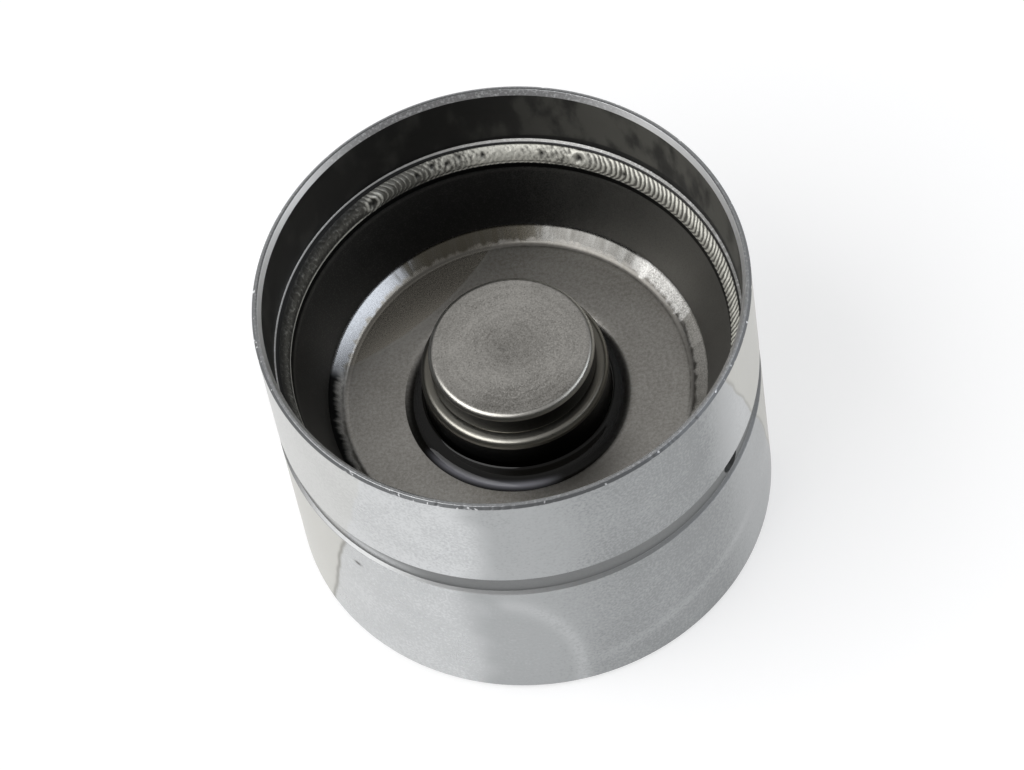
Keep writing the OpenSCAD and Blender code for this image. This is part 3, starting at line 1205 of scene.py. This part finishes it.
@dataclass(frozen=True)
class Oil(Finish):
    """Dark engine oil, thick at the inner cylinder, thin at the back and right, with a painted highlight at
    front left.
    """

    inner_r: float
    outer_r: float
    deep: Colour = (0.006, 0.0055, 0.0045)
    crescent_highlight: Colour = (0.27, 0.27, 0.30)
    towards: float = -25 * DEG
    thick: Edge = (0.35, 1.1)
    crescent_from: Edge = (0.86, 0.2)
    crescent_in: float = 0.18 * MM
    crescent_w: float = 0.2 * MM
    ripple: Grain = (1.2 * MM, 2.0)
    roughness: Weights = (0.03, 0.02)
    bend: float = 1.6
    shine: float = 0.2

    def paint(self, s: Surface) -> None:
        """Fills the material's tree.

        Args:
            s: the material's tree.
        """
        thin = s.step(s.r, (self.inner_r + self.outer_r) / 2, self.outer_r - self.inner_r)
        lean = s.math("COSINE", s.turn - self.towards)
        # A painted bluish highlight near the oil's outer edge at the front left.
        lit = s.step(lean, *self.crescent_from) * s.bell(s.r, self.outer_r - self.crescent_in, self.crescent_w)
        s.close({
            "Base Color": s.blend(lit, self.deep, self.crescent_highlight),
            "Roughness": s.weigh(self.roughness, s.grain(*self.ripple)),
            "IOR": self.bend,
            "Specular IOR Level": self.shine,
            "Alpha": 1.0 - thin * (1 - s.step(lean, *self.thick)),
        })


@dataclass(frozen=True)
class HiddenSteel(Finish):
    """Bright or dark steel of a piece inside, with fine rings and a light grain."""

    pale: Colour = (0.62, 0.61, 0.59)
    dark: Colour = (0.44, 0.43, 0.41)
    roughness: float = 0.25
    rings: Streaks = (0.1 * MM, 2.0, 2.0)
    fine: Grain = (0.3 * MM, 2.0)
    tone: Weights = (HALF, 0.9, 0.6)
    uneven: float = 0.1
    relief: float = 0.002 * MM

    def paint(self, s: Surface) -> None:
        """Fills the material's tree.

        Args:
            s: the material's tree.
        """
        rings = s.wrapped(s.z, *self.rings)
        grain = s.grain(*self.fine)
        s.close({
            "Base Color": s.blend(s.weigh(self.tone, rings, grain), self.dark, self.pale),
            "Metallic": 1.0,
            "Roughness": self.roughness + grain * self.uneven,
            "Normal": s.bump(rings, self.relief),
        })


@dataclass
class Housing:
    """The cup that the cam pushes, with its oil groove, feed hole and stepped mouth."""

    sizes: Sizes
    cam_wall: float = 3.2 * MM
    cam_edge: float = 0.5 * MM
    inside_corner: float = 1.2 * MM
    rim_out: float = 0.2 * MM
    rim_in_w: float = 0.28 * MM
    rim_in_h: float = 0.4 * MM
    step_drop: float = 5.6 * MM
    step_w: float = 0.34 * MM
    mouth_flare: float = 0.15 * MM
    lip_fall: float = 0.15 * MM
    groove_drop: float = 11.0 * MM
    groove_w: float = 2.1 * MM
    groove_depth: float = 0.28 * MM
    groove_flank: float = 0.12 * MM
    feed_d: float = 1.8 * MM
    feed_angle: float = -37.2 * DEG
    drill_length: float = 9.6 * MM
    drill_segments: int = 64
    slot_w: float = 2.4 * MM
    slot_depth: float = 0.6 * MM
    slot_from: float = 1.3 * MM
    slot_to: float = 9.15 * MM
    slot_steps: int = 24
    edge_break: float = 0.05 * MM
    arc_steps: int = 3
    segments: int = 1080
    nick_count: int = 36
    nick_seed: int = 11
    nick_front: Edge = (-75 * DEG, 32 * DEG)
    nick_widths: Point = (0.05 * MM, 0.14 * MM)
    nick_depths: Point = (0.01 * MM, 0.05 * MM)
    nick_h: float = 0.14 * MM
    nick_in: float = 0.45 * MM
    nick_drop: float = 0.6

    def __post_init__(self) -> None:
        """Works out the heights and radii that follow from the sizes."""
        self.groove_z = self.sizes.body_h - self.groove_drop
        self.step_z = self.sizes.body_h - self.step_drop
        self.step_r = self.sizes.bore_r + self.step_w
        self.mouth_r = self.step_r + self.mouth_flare

    def profile(self) -> Profile:
        """Gives the outline that is turned into the cup.

        Returns:
            The outline, from the middle of the cam face out and back to the middle of the inside.
        """
        body_r = self.sizes.body_r
        body_h = self.sizes.body_h
        low = self.groove_z - self.groove_w / 2
        high = self.groove_z + self.groove_w / 2
        groove_r = body_r - self.groove_depth
        edges = [
            (body_r - self.cam_edge, 0),
            (body_r, self.cam_edge),
            (body_r, low),
            (groove_r, low + self.groove_flank),
            (groove_r, high - self.groove_flank),
            (body_r, high),
            (body_r, body_h - self.rim_out),
            (body_r - self.rim_out, body_h),
            (self.mouth_r + self.rim_in_w, body_h),
            (self.mouth_r, body_h - self.rim_in_h),
            (self.step_r, self.step_z),
            (self.sizes.bore_r, self.step_z - self.lip_fall),
        ]
        corners = [Corner(r, z, self.edge_break) for r, z in edges]
        inside = Corner(self.sizes.bore_r, self.cam_wall, self.inside_corner)
        return Profile([Corner(0, 0), *corners, inside, Corner(0, self.cam_wall)], self.arc_steps)

    def build(self) -> Piece:
        """Turns the cup, nicks its rim and cuts its feed hole and transfer slot.

        Returns:
            The cup.
        """
        piece = revolve("cup", self.profile(), self.segments)
        self.nick_rim(piece.data)
        cut(piece, self.feed_drill())
        cut(piece, self.slot_mill())
        return piece

    def nick_rim(self, mesh: bpy.types.Mesh) -> None:
        """Dents the rim's outer edge in small places, most of them at the front.

        Args:
            mesh: mesh of the cup.
        """
        rng = np.random.default_rng(self.nick_seed)
        places = np.empty(len(mesh.vertices) * 3)
        mesh.vertices.foreach_get("co", places)
        places = places.reshape(-1, 3)
        x, y, z = places.T
        turn = np.arctan2(y, x)
        edge = self.sizes.body_h - self.rim_out / 2
        near = np.exp(-((z - edge) / self.nick_h) ** 2) * (np.hypot(x, y) > self.sizes.body_r - self.nick_in)
        front = rng.normal(*self.nick_front, self.nick_count)
        around = rng.uniform(-math.pi, math.pi, self.nick_count // 3)
        dent = np.zeros(len(places))
        for angle in np.concatenate([front, around]):
            width = rng.uniform(*self.nick_widths)
            depth = rng.uniform(*self.nick_depths)
            away = np.angle(np.exp(1j * (turn - angle))) * self.sizes.body_r
            dent = np.maximum(dent, depth * np.exp(-(away / width) ** 2))
        inwards = np.stack([np.cos(turn), np.sin(turn), np.full(len(places), self.nick_drop)], axis=1)
        places -= (near * dent)[:, None] * inwards
        mesh.vertices.foreach_set("co", places.ravel())
        mesh.update()

    def feed_drill(self) -> Piece:
        """Makes the drill that cuts the oil feed hole.

        Returns:
            The drill.
        """
        work = bmesh.new()
        middle = (self.sizes.bore_r + self.sizes.body_r) / 2
        turn = Matrix.Rotation(self.feed_angle, 4, "Z")
        place = turn @ Matrix.Translation((middle, 0, self.groove_z)) @ Matrix.Rotation(math.pi / 2, 4, "Y")
        bmesh.ops.create_cone(work, cap_ends=True, segments=self.drill_segments, radius1=self.feed_d / 2,
                              radius2=self.feed_d / 2, depth=self.drill_length, matrix=place)
        return add_work("feed_drill", work)

    def slot_mill(self) -> Piece:
        """Makes the mill that cuts the oil transfer slot into the inside of the cam wall.

        Returns:
            The mill.
        """
        work = bmesh.new()
        half = self.slot_w / 2
        floor: list[bmesh.types.BMVert] = []
        for centre, start in ((self.slot_to, -math.pi / 2), (self.slot_from, math.pi / 2)):
            for angle in np.linspace(start, start + math.pi, self.slot_steps + 1):
                x = centre + math.cos(angle) * half
                floor.append(work.verts.new((x, math.sin(angle) * half, self.cam_wall - self.slot_depth)))
        face = work.faces.new(floor)
        top = bmesh.ops.extrude_face_region(work, geom=[face])["geom"]
        lifted = [item for item in top if isinstance(item, bmesh.types.BMVert)]
        bmesh.ops.translate(work, verts=lifted, vec=(0, 0, 2 * self.slot_depth))
        return add_work("slot_mill", work)

    def dress(self, piece: Piece) -> None:
        """Gives the cup its steel and ties it to the frame.

        Args:
            piece: the cup.
        """
        GroundSteel("ground_steel", self.sizes.body_r, self.sizes.body_h, self.groove_z, self.groove_w,
                    self.rim_out, self.mouth_r, self.rim_in_w, self.rim_in_h, self.step_z).put_on(piece)
        seat(piece, Body.BUCKET, "bucket_housing")


@dataclass
class Sleeve:
    """The drawn partition: conical wall, flat floor and a guide tube bent down from it."""

    sizes: Sizes
    sheet: float = 1.0 * MM
    edge_w: float = 0.57 * MM
    cone_h: float = 5.95 * MM
    cone_angle: float = 22.3 * DEG
    foot_round: float = 1.45 * MM
    band_in: float = 0.75 * MM
    band_up: float = 1.02 * MM
    band_soft: float = 0.7 * MM
    mouth_round: float = 1.65 * MM
    guide_gap: float = 0.03 * MM
    edge_break: float = 0.15 * MM
    segments: int = 720

    def __post_init__(self) -> None:
        """Works out the heights and radii that follow from the sizes."""
        self.toe_r = self.sizes.land_r - self.edge_w
        self.floor_z = self.sizes.edge_z - self.cone_h
        self.foot_r = self.toe_r - self.cone_h * math.tan(self.cone_angle)
        self.band_r = self.foot_r + self.band_up * math.sin(self.cone_angle)
        self.guide_r = self.sizes.element_r + self.guide_gap

    def profile(self) -> Profile:
        """Gives the outline that is turned into the sleeve.

        Returns:
            The outline, from the upper edge down inside and back up underneath.
        """
        band_z = self.floor_z + self.band_up * math.cos(self.cone_angle)
        tube_r = self.guide_r + self.sheet
        under = self.floor_z - self.sheet
        across = self.sheet / math.cos(self.cone_angle)
        slope = math.tan(self.cone_angle)
        under_foot_r = self.foot_r + across - self.sheet * slope
        land_z = self.floor_z + (self.sizes.land_r - across - self.foot_r) / slope
        return Profile([
            Corner(self.sizes.land_r, self.sizes.edge_z),
            Corner(self.toe_r, self.sizes.edge_z),
            Corner(self.band_r, band_z, self.band_soft),
            Corner(self.foot_r - self.band_in, self.floor_z, self.band_soft),
            Corner(self.guide_r, self.floor_z, self.mouth_round),
            Corner(self.guide_r, self.sizes.tube_end_z, self.edge_break),
            Corner(tube_r, self.sizes.tube_end_z, self.edge_break),
            Corner(tube_r, under, self.mouth_round - self.sheet),
            Corner(under_foot_r, under, self.foot_round + self.sheet),
            Corner(self.sizes.land_r, land_z, self.edge_break),
        ])

    def build(self) -> Piece:
        """Turns the sleeve."""
        return revolve("sleeve", self.profile(), self.segments)

    def dress(self, piece: Piece) -> None:
        """Gives the sleeve its steel and ties it to the frame."""
        DrawnSteel("drawn_steel", self.foot_r - self.band_in, self.band_r, self.sizes.edge_z).put_on(piece)
        seat(piece, Body.BUCKET, "guide_sleeve")


@dataclass
class WeldBead:
    """The weld between the sleeve's upper edge and the cup, with its ripples and pits."""

    sizes: Sizes
    toe_r: float
    crown: float = 0.3 * MM
    ripples: int = 240
    ripple_h: float = 0.09 * MM
    around: int = 2832
    across: int = 30
    joined: float = 1e-6
    lay: Span = (122 * DEG, 218 * DEG, 8 * DEG)
    blotch: Span = (58 * DEG, 106 * DEG, 14 * DEG)
    stir: Point = (14, 1)
    coarse: Point = (70, 5)
    stir_detail: float = 2.0
    coarse_detail: float = 3.0
    wave: Weights = (0.0, 1.3, 1.3)
    calm: Weights = (1.0, -0.9, -0.75)
    sunken: Weights = (1.0, -0.5)
    grit: Weights = (0.07 * MM, 0.16 * MM, 0.10 * MM)
    toe: Hump = (0.12, 0.05)
    beads: Hump = (0.03, 0.05)
    marks_h: Weights = (0.0, 0.09 * MM, -0.16 * MM, 0.05 * MM, -0.05 * MM)
    lay_middle: Hump = (0.5, 0.24)
    lay_toe: Edge = (0.10, 0.08)
    toe_dark: Weights = (0.75, -0.45)
    lay_dark: float = 0.9
    grit_tone: Weights = (0.46, 2.4)
    tone: Weights = (0.0, 1.0, 1.0, -0.4, 0.7, 1.3, -0.3, -0.3, 0.45)
    left: Edge = (0.1, 0.6)
    dim: Hump = (111 * DEG, 0.16)
    bright: Hump = (82 * DEG, 0.16)
    pits: tuple[Point, ...] = (
        (106.0, 0.55), (101.5, 0.72), (97.5, 0.6), (94.0, 0.75), (88.0, 0.62), (72.5, 0.6), (49.5, 0.55))
    pit_size: Point = (0.011, 0.14)
    craters: tuple[tuple[float, float, float], ...] = ((119.7, 0.45, 0.55 * MM), (62.5, 0.62, 0.5 * MM))
    crater_pit: Hump = (0.0, 0.6)
    crater_rim: Hump = (1.0, 0.35)

    def build(self) -> Piece:
        """Grows the bead with Geometry Nodes and makes it a plain mesh.

        Returns:
            The bead.
        """
        piece = add("weld", bpy.data.meshes.new("weld"))
        tree = self.tree()
        modifier = piece.modifiers.new("ripples", "NODES")
        modifier.node_group = tree
        values = {
            "Toe Radius": self.toe_r,
            "Toe Height": self.sizes.edge_z,
            "Top Radius": self.sizes.bore_r,
            "Top Height": self.sizes.weld_top_z,
            "Crown": self.crown,
            "Ripples": self.ripples,
            "Ripple Height": self.ripple_h,
            "Finish": WeldMetal("weld_steel").material(),
        }
        for item in tree.interface.items_tree:
            if item.in_out == "INPUT" and item.name in values:
                modifier[item.identifier] = values[item.name]
        plain_mesh(piece)
        return piece

    def tree(self) -> bpy.types.GeometryNodeTree:
        """Writes the node tree that makes the bead.

        Returns:
            A tree with named inputs for the bead's sizes and its finish.
        """
        tree = bpy.data.node_groups.new("weld_bead", "GeometryNodeTree")
        for name in ("Toe Radius", "Toe Height", "Top Radius", "Top Height", "Crown", "Ripple Height"):
            tree.interface.new_socket(name, in_out="INPUT", socket_type="NodeSocketFloat")
        tree.interface.new_socket("Ripples", in_out="INPUT", socket_type="NodeSocketInt")
        tree.interface.new_socket("Finish", in_out="INPUT", socket_type="NodeSocketMaterial")
        tree.interface.new_socket("Bead", in_out="OUTPUT", socket_type="NodeSocketGeometry")
        net = Net(tree)
        given = net.node("NodeGroupInput")
        rows = self.across + 2
        depth = (rows - 1) / (self.across - 1)
        bead = net.out(net.node("GeometryNodeMeshGrid", sockets={
            "Size X": 1.0, "Size Y": depth, "Vertices X": self.around + 1, "Vertices Y": rows}), "Mesh")
        x, y, _ = net.split(net.out(net.node("GeometryNodeInputPosition")))
        place, ripple, pit = self.shape(net, given, x + HALF, y + depth / 2)
        for name, value in (("ripple", ripple), ("pit", pit)):
            stored = {"Geometry": bead, "Name": name, "Value": value}
            bead = net.out(net.node("GeometryNodeStoreNamedAttribute", {"data_type": "FLOAT"}, stored))
        for kind, sockets in (
            ("GeometryNodeSetPosition", {"Position": place}),
            ("GeometryNodeMergeByDistance", {"Distance": self.joined}),
            ("GeometryNodeSetShadeSmooth", {}),
            ("GeometryNodeRealizeInstances", {}),
            ("GeometryNodeSetMaterial", {"Material": net.out(given, "Finish")}),
        ):
            bead = net.out(net.node(kind, sockets={"Geometry": bead, **sockets}))
        net.node("NodeGroupOutput", sockets={"Bead": bead})
        return tree

    def shape(self, net: Net, given: bpy.types.Node, along: Value, up: Value) -> tuple[Value, Value, Value]:
        """Works out where each point of the bead lies.

        Args:
            net: tree of the bead.
            given: the tree's inputs.
            along: share of a turn round the axis.
            up: 0 at the lower toe, 1 at the upper edge, more on the hidden back.

        Returns:
            The place, the painted light and shade of the weld there, and how deep in a pit or in painted
            shade it is.
        """
        toe_r, toe_z, top_r, top_z, crown, ripple_h, ripples = (
            net.out(given, name) for name in (
                "Toe Radius", "Toe Height", "Top Radius", "Top Height", "Crown", "Ripple Height", "Ripples"))
        angle = along * FULL_TURN
        east = net.math("COSINE", angle)
        north = net.math("SINE", angle)
        front = net.math("MINIMUM", up, 1.0)
        arch = front * (1 - front) * 4
        stir, coarse = (
            net.noise(net.join(east * count, north * count, front * rows), detail=detail)
            for (count, rows), detail in ((self.stir, self.stir_detail), (self.coarse, self.coarse_detail)))
        wave = along * ripples + net.weigh(self.wave, arch, stir)
        crest = net.math("SINE", wave * FULL_TURN) * HALF + HALF
        lay = net.band(angle, *self.lay)
        blotch = net.band(angle, *self.blotch)
        flat = net.weigh(self.calm, lay, blotch)
        pit, ring_up = self.marks(net, angle, front)
        toe = net.bell(front, *self.toe) * (1 - lay)
        beads = net.bell(front, *self.beads) * (crest * (1 - lay) + lay)
        rise = crown * net.weigh(self.sunken, lay) + (crest - HALF) * ripple_h * flat
        rise = arch * (rise + coarse * net.weigh(self.grit, lay, blotch))
        rise = rise + net.weigh(self.marks_h, ring_up, pit, beads, toe)
        sides = lay * (1 - net.bell(front, *self.lay_middle)) * net.step(front, *self.lay_toe)
        # The pit mask also paints shade in the groove along the toe, and darkens the sides of the laid part.
        pit = pit + toe * net.weigh(self.toe_dark, crest) + sides * self.lay_dark
        mottled = (1 - flat) * net.weigh(self.grit_tone, coarse)
        dim = net.bell(angle, *self.dim)
        bright = net.bell(angle, *self.bright)
        # The tone is painted light and shade: pale crests, dark hollows, pale crater rims and beads, darker
        # at the left.
        tone = net.weigh(self.tone, crest * flat, mottled, lay, ring_up, beads * lay,
                         net.step(-east, *self.left) * flat, dim, bright)
        run_r = top_r - toe_r
        run_z = top_z - toe_z
        length = net.hypot(run_r, run_z)
        r = toe_r + run_r * front - rise * run_z / length
        z = toe_z + run_z * front + rise * run_r / length
        back = (up - 1) * (self.across - 1)
        hidden = net.math("GREATER_THAN", back, HALF)
        under = net.math("MAXIMUM", back - 1, 0.0)
        r = r + hidden * (top_r - run_r * under - r)
        z = z + hidden * (toe_z - z)
        return net.join(r * east, r * north, z), tone, net.math("MINIMUM", pit, 1.0)

    def marks(self, net: Net, angle: Value, front: Value) -> tuple[Value, Value]:
        """Places the pits and the craters of the bead.

        Args:
            net: tree of the bead.
            angle: angle round the axis.
            front: 0 at the lower toe, 1 at the upper edge.

        Returns:
            How deep in a pit a point lies and how high on a crater's rim.
        """
        length = math.hypot(self.sizes.bore_r - self.toe_r, self.sizes.weld_top_z - self.sizes.edge_z)
        wide, tall = self.pit_size
        pit: Operand = 0.0
        rim: Operand = 0.0
        for degrees, across in self.pits:
            pit = pit + net.bell(angle, degrees * DEG, wide) * net.bell(front, across, tall)
        for degrees, across, size in self.craters:
            along = (angle - degrees * DEG) * (self.toe_r / size)
            away = net.hypot(along, (front - across) * (length / size))
            pit = pit + net.bell(away, *self.crater_pit)
            rim = rim + net.bell(away, *self.crater_rim)
        return pit, rim

    def dress(self, piece: Piece) -> None:
        """Ties the bead, which has its metal already, to the frame."""
        seat(piece, Body.BUCKET, "weld_bead")


@dataclass
class Element:
    """The inner cylinder, whose button presses on the valve stem."""

    sizes: Sizes
    button_d: float = 11.9 * MM
    button_h: float = 2.3 * MM
    button_edge: float = 0.5 * MM
    shoulder_round: float = 0.55 * MM
    relief: float = 0.18 * MM
    crown: float = 3.2 * MM
    bore_d: float = 10.6 * MM
    segments: int = 480

    def __post_init__(self) -> None:
        """Works out the height that follows from the sizes."""
        self.shoulder_z = self.sizes.button_z - self.button_h

    def profile(self) -> Profile:
        """Gives the outline that is turned into the cylinder.

        Returns:
            The outline, from the open end up outside and back down the bore.
        """
        button_r = self.button_d / 2
        neck_r = button_r - self.relief
        bore_r = self.bore_d / 2
        ceiling_z = self.sizes.button_z - self.crown
        return Profile([
            Corner(bore_r, self.sizes.open_z),
            Corner(self.sizes.element_r, self.sizes.open_z),
            Corner(self.sizes.element_r, self.shoulder_z, self.shoulder_round),
            Corner(neck_r, self.shoulder_z),
            Corner(neck_r, self.shoulder_z + self.relief),
            Corner(button_r, self.shoulder_z + 2 * self.relief),
            Corner(button_r, self.sizes.button_z, self.button_edge),
            Corner(0, self.sizes.button_z),
            Corner(0, ceiling_z),
            Corner(bore_r, ceiling_z),
        ])

    def build(self) -> Piece:
        """Turns the cylinder."""
        return revolve("inner_barrel", self.profile(), self.segments)

    def dress(self, piece: Piece) -> None:
        """Gives the cylinder its steel and ties it to the frame."""
        TurnedSteel("turned_steel", self.sizes.button_z, self.button_edge, self.shoulder_z).put_on(piece)
        seat(piece, Body.CYLINDER, "inner_cylinder")


@dataclass
class OilRing:
    """The oil round the inner cylinder, where it comes out of the guide tube."""

    guide_r: float
    floor_z: float
    mouth_round: float
    reach: float = 1.35 * MM
    shift: float = 0.30 * MM
    towards: float = 245 * DEG
    climb: float = 0.1 * MM
    climb_w: float = 0.12 * MM
    bulge: float = 0.10 * MM
    bulge_more: float = 0.40 * MM
    fullness: int = 3
    lip: float = 0.02 * MM
    sunk: float = 0.3 * MM
    steps: int = 28
    segments: int = 360

    def build(self) -> Piece:
        """Shapes the ring of oil, which bulges most at the front left.

        Returns:
            The ring.
        """
        turns = turns_of(self.segments)
        lean = np.cos(turns - self.towards)
        inner = self.guide_r + self.lip
        outer = inner + self.reach + self.shift * lean
        edge_z = self.floor_z - self.fall(outer)
        swell = self.bulge + self.bulge_more * np.maximum(lean, 0)
        rows: list[np.ndarray] = []
        for u in np.linspace(0, 1, self.steps):
            r = inner + (outer - inner) * u
            climb = self.climb * np.exp(-(r - inner) / self.climb_w)
            rows.append(ring(r, edge_z + self.lip + swell * (1 - u ** self.fullness) + climb, turns))
        rows += [ring(r, edge_z - self.sunk, turns) for r in (outer, inner)]
        return mesh_piece("oil_ring", rows)

    def fall(self, r: np.ndarray) -> np.ndarray:
        """Gives how far the bend into the guide tube lies below the floor."""
        into = np.clip(self.guide_r + self.mouth_round - r, 0, self.mouth_round)
        return self.mouth_round - np.sqrt(self.mouth_round ** 2 - into ** 2)

    def dress(self, piece: Piece) -> None:
        """Fills the ring with oil and ties it to the frame."""
        Oil("engine_oil", self.guide_r, self.guide_r + self.reach + self.shift / 2).put_on(piece)
        seat(piece, Body.BUCKET)


@dataclass
class Insides:
    """The pieces that are sealed inside and keep their solids."""

    finishes: dict[str, Finish] = field(default_factory=lambda: {
        "retaining_ring": HiddenSteel("ring_wire", (0.40, 0.40, 0.42), (0.28, 0.28, 0.30), 0.35),
        "piston": HiddenSteel("lapped_piston", roughness=0.18),
        "valve_cap": HiddenSteel("pressed_cap", (0.52, 0.51, 0.49), (0.36, 0.35, 0.33), 0.32),
        "check_ball": HiddenSteel("polished_ball", (0.76, 0.76, 0.77), (0.66, 0.66, 0.67), 0.08),
    })

    def dress(self) -> None:
        """Gives each hidden solid its finish."""
        for node, finish in self.finishes.items():
            finish.put_on(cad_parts[node])
            LOG.info("%s keeps its solid", node)


@dataclass
class Coil:
    """A sealed spring, whose solid is copied into a piece of its own."""

    name: str
    node: str
    joint: str
    travel: float
    fixed_low: bool
    wire: Finish = HiddenSteel("coil_wire", (0.42, 0.42, 0.44), (0.30, 0.30, 0.32), 0.3)

    def build(self) -> Piece:
        """Copies the spring's solid.

        Returns:
            The spring as a piece of its own.
        """
        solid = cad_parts[self.node]
        mesh = solid.data.copy()
        mesh.transform(solid.matrix_world)
        smooth(mesh)
        return add(self.name, mesh)

    def dress(self, piece: Piece) -> None:
        """Gives the spring its wire, ties it to the frame and gives it a mesh of its own.

        Args:
            piece: the spring.
        """
        low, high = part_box(self.node)
        self.wire.put_on(piece)
        seat(piece, Body.PISTON, self.node)
        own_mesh(piece)


@dataclass(frozen=True)
class Softbox:
    """A flat soft light that looks at the lifter."""

    name: str
    azimuth: float
    elevation: float
    distance: float
    width: float
    height: float
    radiance: float
    colour: Colour = (1.0, 1.0, 1.0)

    def hang(self, target: Vector) -> None:
        """Adds the light to the scene.

        Args:
            target: point that it looks at.
        """
        light = bpy.data.lights.new(self.name, "AREA")
        light.shape = "RECTANGLE"
        light.size = self.width
        light.size_y = self.height
        light.energy = self.radiance * math.pi * self.width * self.height
        light.color = self.colour
        lamp = add(self.name, light)
        x = math.cos(self.elevation) * math.cos(self.azimuth)
        y = math.cos(self.elevation) * math.sin(self.azimuth)
        away = Vector((x, y, math.sin(self.elevation)))
        lamp.location = target + away * self.distance
        lamp.rotation_euler = away.to_track_quat("Z", "Y").to_euler()


@dataclass(frozen=True)
class PhotoCamera:
    """The camera at the photograph's place."""

    target_z: float = 13.0 * MM
    distance: float = 345.57 * MM
    elevation: float = 58.008 * DEG
    pan: float = 0.0700 * DEG
    tilt: float = 0.0537 * DEG
    roll: float = -10.634 * DEG
    lens: float = 169.0
    sensor: float = 36.0
    clip_start: float = 0.01

    def place(self) -> None:
        """Adds the camera and makes it the scene's own."""
        data = bpy.data.cameras.new("photo_camera")
        data.sensor_fit = "HORIZONTAL"
        data.sensor_width = self.sensor
        data.lens = self.lens
        data.clip_start = self.clip_start
        away = Vector((0, -math.cos(self.elevation), math.sin(self.elevation))) * self.distance
        place = Matrix.Translation(away + Vector((0, 0, self.target_z)))
        for angle, axis in (
            (math.pi / 2 - self.elevation, "X"), (self.pan, "Y"), (self.tilt, "X"), (self.roll, "Z"),
        ):
            place = place @ Matrix.Rotation(angle, 4, axis)
        camera = add("photo_camera", data)
        camera.matrix_world = place
        bpy.context.scene.camera = camera


@dataclass(frozen=True)
class WhiteFloor(Finish):
    """A matt white floor that also glows a little where it is seen or mirrored."""

    matt: Colour = (0.55, 0.55, 0.55)
    glow: float = 0.53

    def paint(self, s: Surface) -> None:
        """Fills the material's tree.

        Args:
            s: the material's tree.
        """
        path = s.node("ShaderNodeLightPath")
        seen = s.out(path, "Is Camera Ray") + s.out(path, "Is Glossy Ray")
        seen = seen + s.out(path, "Is Transmission Ray")
        matt = s.result("ShaderNodeBsdfDiffuse", Color=self.matt)
        glow = s.result("ShaderNodeEmission", Strength=seen * self.glow)
        both = s.out(s.node("ShaderNodeAddShader", sockets={0: matt, 1: glow}))
        s.node("ShaderNodeOutputMaterial", sockets={"Surface": both})


@dataclass
class Studio:
    """Floor, sky, soft lights and camera."""

    floor_size: float = 6.0
    sky: tuple[tuple[float, Colour], ...] = (
        (0.0, (0.80, 0.80, 0.80)),
        (0.50, (0.90, 0.90, 0.90)),
        (0.57, (0.80, 0.80, 0.80)),
        (0.66, (0.37, 0.37, 0.375)),
        (1.0, (0.37, 0.37, 0.375)),
    )
    panel: Colour = (0.56, 0.56, 0.56)
    panel_way: Weights = (0.0, 0.0, 0.53, 0.848)
    panel_edge: Edge = (0.90, 0.12)
    lights: tuple[Softbox, ...] = (
        Softbox("key_softbox", 200 * DEG, 52 * DEG, 0.60, 0.64, 0.44, 2.8),
        Softbox("window_softbox", -8 * DEG, 36 * DEG, 0.60, 0.46, 0.24, 2.2, (0.88, 0.93, 1.0)),
    )

    def build(self, middle: Vector) -> None:
        """Sets up the floor, the sky, the lights and the camera.

        Args:
            middle: point that the lights look at.
        """
        work = bmesh.new()
        bmesh.ops.create_grid(work, x_segments=1, y_segments=1, size=self.floor_size / 2)
        floor = add_work("floor", work)
        WhiteFloor("white_floor").put_on(floor)
        self.light_sky()
        for light in self.lights:
            light.hang(middle)
        PhotoCamera().place()
        bpy.context.scene.view_settings.view_transform = "Standard"

    def light_sky(self) -> None:
        """Gives the scene a sky that is white at the horizon and grey overhead, with a paler panel."""
        world = bpy.data.worlds.new("studio_sky")
        world.use_nodes = True
        world.node_tree.nodes.clear()
        net = Net(world.node_tree)
        x, y, z = net.split(net.out(net.node("ShaderNodeTexCoord"), "Generated"))
        ramp = net.node("ShaderNodeValToRGB", {"stops": list(self.sky)}, {"Fac": z * HALF + HALF})
        on_panel = net.step(net.weigh(self.panel_way, x, y, z), *self.panel_edge)
        colour = net.blend(on_panel, net.out(ramp, "Color"), self.panel)
        light = net.result("ShaderNodeBackground", Color=colour)
        net.node("ShaderNodeOutputWorld", sockets={"Surface": light})
        bpy.context.scene.world = world


def main() -> None:
    """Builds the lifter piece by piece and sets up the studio."""
    logging.basicConfig(level=logging.INFO, format="%(message)s")
    sizes = Sizes.from_frame()
    sleeve = Sleeve(sizes)
    oil = OilRing(sleeve.guide_r, sleeve.floor_z, sleeve.mouth_round)
    return_coil = Coil("return_coil", "return_spring", "element_stroke", RETURN_TRAVEL, True)
    check_coil = Coil("check_coil", "check_spring", "check_ball_lift", CHECK_TRAVEL, False)
    weld = WeldBead(sizes, sleeve.toe_r)
    for part in (Housing(sizes), sleeve, Element(sizes), oil, return_coil, check_coil, weld):
        part.dress(part.build())
    Insides().dress()
    Studio().build(Vector((0, 0, sizes.body_h / 2)))


if __name__ == "__main__":
    main()
